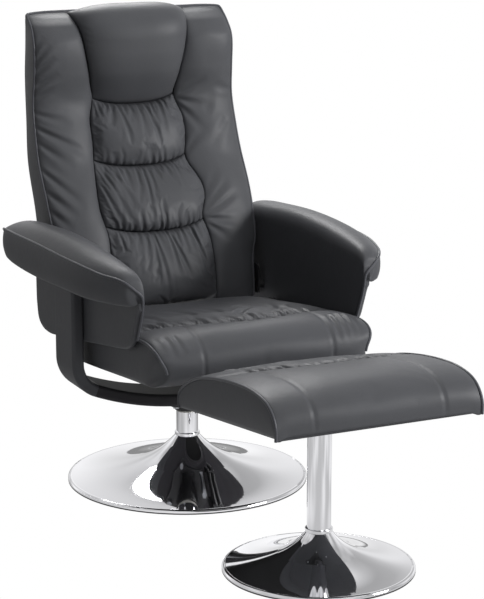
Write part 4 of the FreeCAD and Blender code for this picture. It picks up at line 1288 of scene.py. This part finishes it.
stool_across, stool_along = stool_cells
stool_mesh = bmesh.new()
panel(stool_mesh, stool_across, stool_along, stool_top)
stuff(stool_mesh, Vector((0, 0, 1)), 0.002, 0.005, stool_held, firmness=8)
panel(stool_mesh, stool_along, gusset_cells, stool_gusset)
panel(stool_mesh, stool_along, gusset_cells, mirrored(stool_gusset))
bmesh.ops.remove_doubles(stool_mesh, verts=stool_mesh.verts, dist=sewn_gap)
close_behind(stool_mesh)
cover(stool_mesh, "stool_cover", "stool", ["stool_cushion", "stool_board"])
stool_welt_steps = 41
for word, side in sides:
    stool_line = []
    for step in range(stool_welt_steps + 1):
        y, side_z = stool_piping(step / stool_welt_steps)
        side_z -= stool_droop(stool_half, step / stool_welt_steps)
        stool_line.append(tilt_stool(Vector((side * (stool_half + welt_lift), y, side_z))))
    welt(word + "_stool_welt", "stool", stool_line)

# %% [markdown]
# The floor is white to the camera and catches no shadow, as in a cut-out picture of a product.
# In the chrome it is a studio floor instead, bright in front of the chair and dim behind it, so
# that the discs of the pedestals get their dark and pale halves.

# %% Floor
floor_half = 15
floor_mesh = bmesh.new()
bmesh.ops.create_grid(floor_mesh, x_segments=1, y_segments=1, size=floor_half)
floor_material, floor_tree = new_material("white_floor")
floor_ray = add(floor_tree, "ShaderNodeLightPath")
floor_seen = add(floor_tree, "ShaderNodeMath", {
    0: floor_ray.outputs["Is Camera Ray"], 1: floor_ray.outputs["Is Glossy Ray"]}, operation="MAXIMUM")
floor_place = add(floor_tree, "ShaderNodeTexCoord").outputs["Object"]
floor_depth = add(floor_tree, "ShaderNodeSeparateXYZ", {"Vector": floor_place})
floor_blotches = add(floor_tree, "ShaderNodeTexNoise", {
    "Vector": floor_place, "Scale": 1.7, "Detail": 1.0})
floor_front = add(floor_tree, "ShaderNodeMapRange", {
    "Value": floor_blotches.outputs["Fac"], "From Min": 0.4, "From Max": 0.6, "To Min": 0.62,
    "To Max": 0.95})
floor_shine = add(floor_tree, "ShaderNodeMapRange", {
    "Value": floor_depth.outputs["Y"], "From Min": -0.3, "From Max": 0.5,
    "To Min": floor_front.outputs["Result"], "To Max": 0.28})
floor_glow = add(floor_tree, "ShaderNodeMix", {
    "Factor": floor_ray.outputs["Is Glossy Ray"], "A": 1.0, "B": floor_shine.outputs["Result"]})
floor_dull = add(floor_tree, "ShaderNodeBsdfDiffuse", {"Color": linear("#d0d0d0")})
floor_white = add(floor_tree, "ShaderNodeEmission", {
    "Color": (1, 1, 1, 1), "Strength": floor_glow.outputs["Result"]})
finish_material(floor_tree, add(floor_tree, "ShaderNodeMixShader", {
    "Fac": floor_seen.outputs[0], 1: floor_dull.outputs[0], 2: floor_white.outputs[0]}))
floor_data = bpy.data.meshes.new("floor")
floor_mesh.to_mesh(floor_data)
floor_mesh.free()
floor_data.materials.append(floor_material)
floor = put_in_scene("floor", floor_data)
print("floor", 2 * floor_half, "m wide")

# %% [markdown]
# The world is white to the camera too. The chrome and the sheen of the leather see a studio: a
# pale ceiling, a bright wall behind the chair, a dim room in front of it, and soft blotches that
# give the chrome its bands. Its light on dull surfaces is weak, so the lamps shape them.

# %% World
world = bpy.data.worlds.new("world")
world.use_nodes = True
world_tree = world.node_tree
world_tree.nodes.clear()
path = add(world_tree, "ShaderNodeLightPath")
towards = add(world_tree, "ShaderNodeTexCoord").outputs["Generated"]
axes = add(world_tree, "ShaderNodeSeparateXYZ", {"Vector": towards})
ceiling = add(world_tree, "ShaderNodeMapRange", {
    "Value": axes.outputs["Z"], "From Min": 0.25, "From Max": 0.55})
walls = add(world_tree, "ShaderNodeMapRange", {
    "Value": axes.outputs["Y"], "From Min": -0.3, "From Max": 0.3, "To Min": 0.35, "To Max": 1.1})
blotches = add(world_tree, "ShaderNodeTexNoise", {"Vector": towards, "Scale": 2.4, "Detail": 1.0})
bands = add(world_tree, "ShaderNodeMapRange", {
    "Value": blotches.outputs["Fac"], "From Min": 0.36, "From Max": 0.62, "To Min": 0.55,
    "To Max": 1.05})
room = add(world_tree, "ShaderNodeMix", {
    "Factor": ceiling.outputs["Result"], "A": walls.outputs["Result"], "B": 0.82})
studio = add(world_tree, "ShaderNodeMath", {
    0: room.outputs["Result"], 1: bands.outputs["Result"]}, operation="MULTIPLY")
unseen = add(world_tree, "ShaderNodeMix", {
    "Factor": path.outputs["Is Glossy Ray"], "A": 0.09, "B": studio.outputs[0]})
strength = add(world_tree, "ShaderNodeMix", {
    "Factor": path.outputs["Is Camera Ray"], "A": unseen.outputs["Result"], "B": 1.0})
sky = add(world_tree, "ShaderNodeBackground", {
    "Color": (1, 1, 1, 1), "Strength": strength.outputs["Result"]})
add(world_tree, "ShaderNodeOutputWorld", {"Surface": sky.outputs[0]})
bpy.context.scene.world = world
print("world of", len(world_tree.nodes), "nodes")

# %% [markdown]
# The key light stands in front of the chair on its left-hand side, so the faces that look the
# other way fall off into shadow. A lamp behind and above draws bright edges on the arm tops and
# the top of the back. A weak one overhead opens the seat, and a weak one low in front of the
# stool opens the faces that look at the camera. All are wide discs, for soft shadows.

# %% Lamps
lamp_aim = Vector((0, -0.2, 0.5))


def soft_lamp(name, place, size, watts):
    data = bpy.data.lights.new(name, "AREA")
    data.shape = "DISK"
    data.size = size
    data.energy = watts
    lamp = put_in_scene(name, data)
    lamp.location = place
    lamp.rotation_euler = (lamp_aim - Vector(place)).to_track_quat("-Z", "Y").to_euler()
    print(name, watts, "W")


soft_lamp("key", (3.2, -2.9, 2.2), 1.6, 160)
soft_lamp("rim", (0.6, 2.5, 3.0), 1.8, 90)
soft_lamp("overhead", (0.2, -0.6, 3.2), 2.0, 14)
soft_lamp("low_front", (0.2, -4.8, 1.6), 1.6, 26)
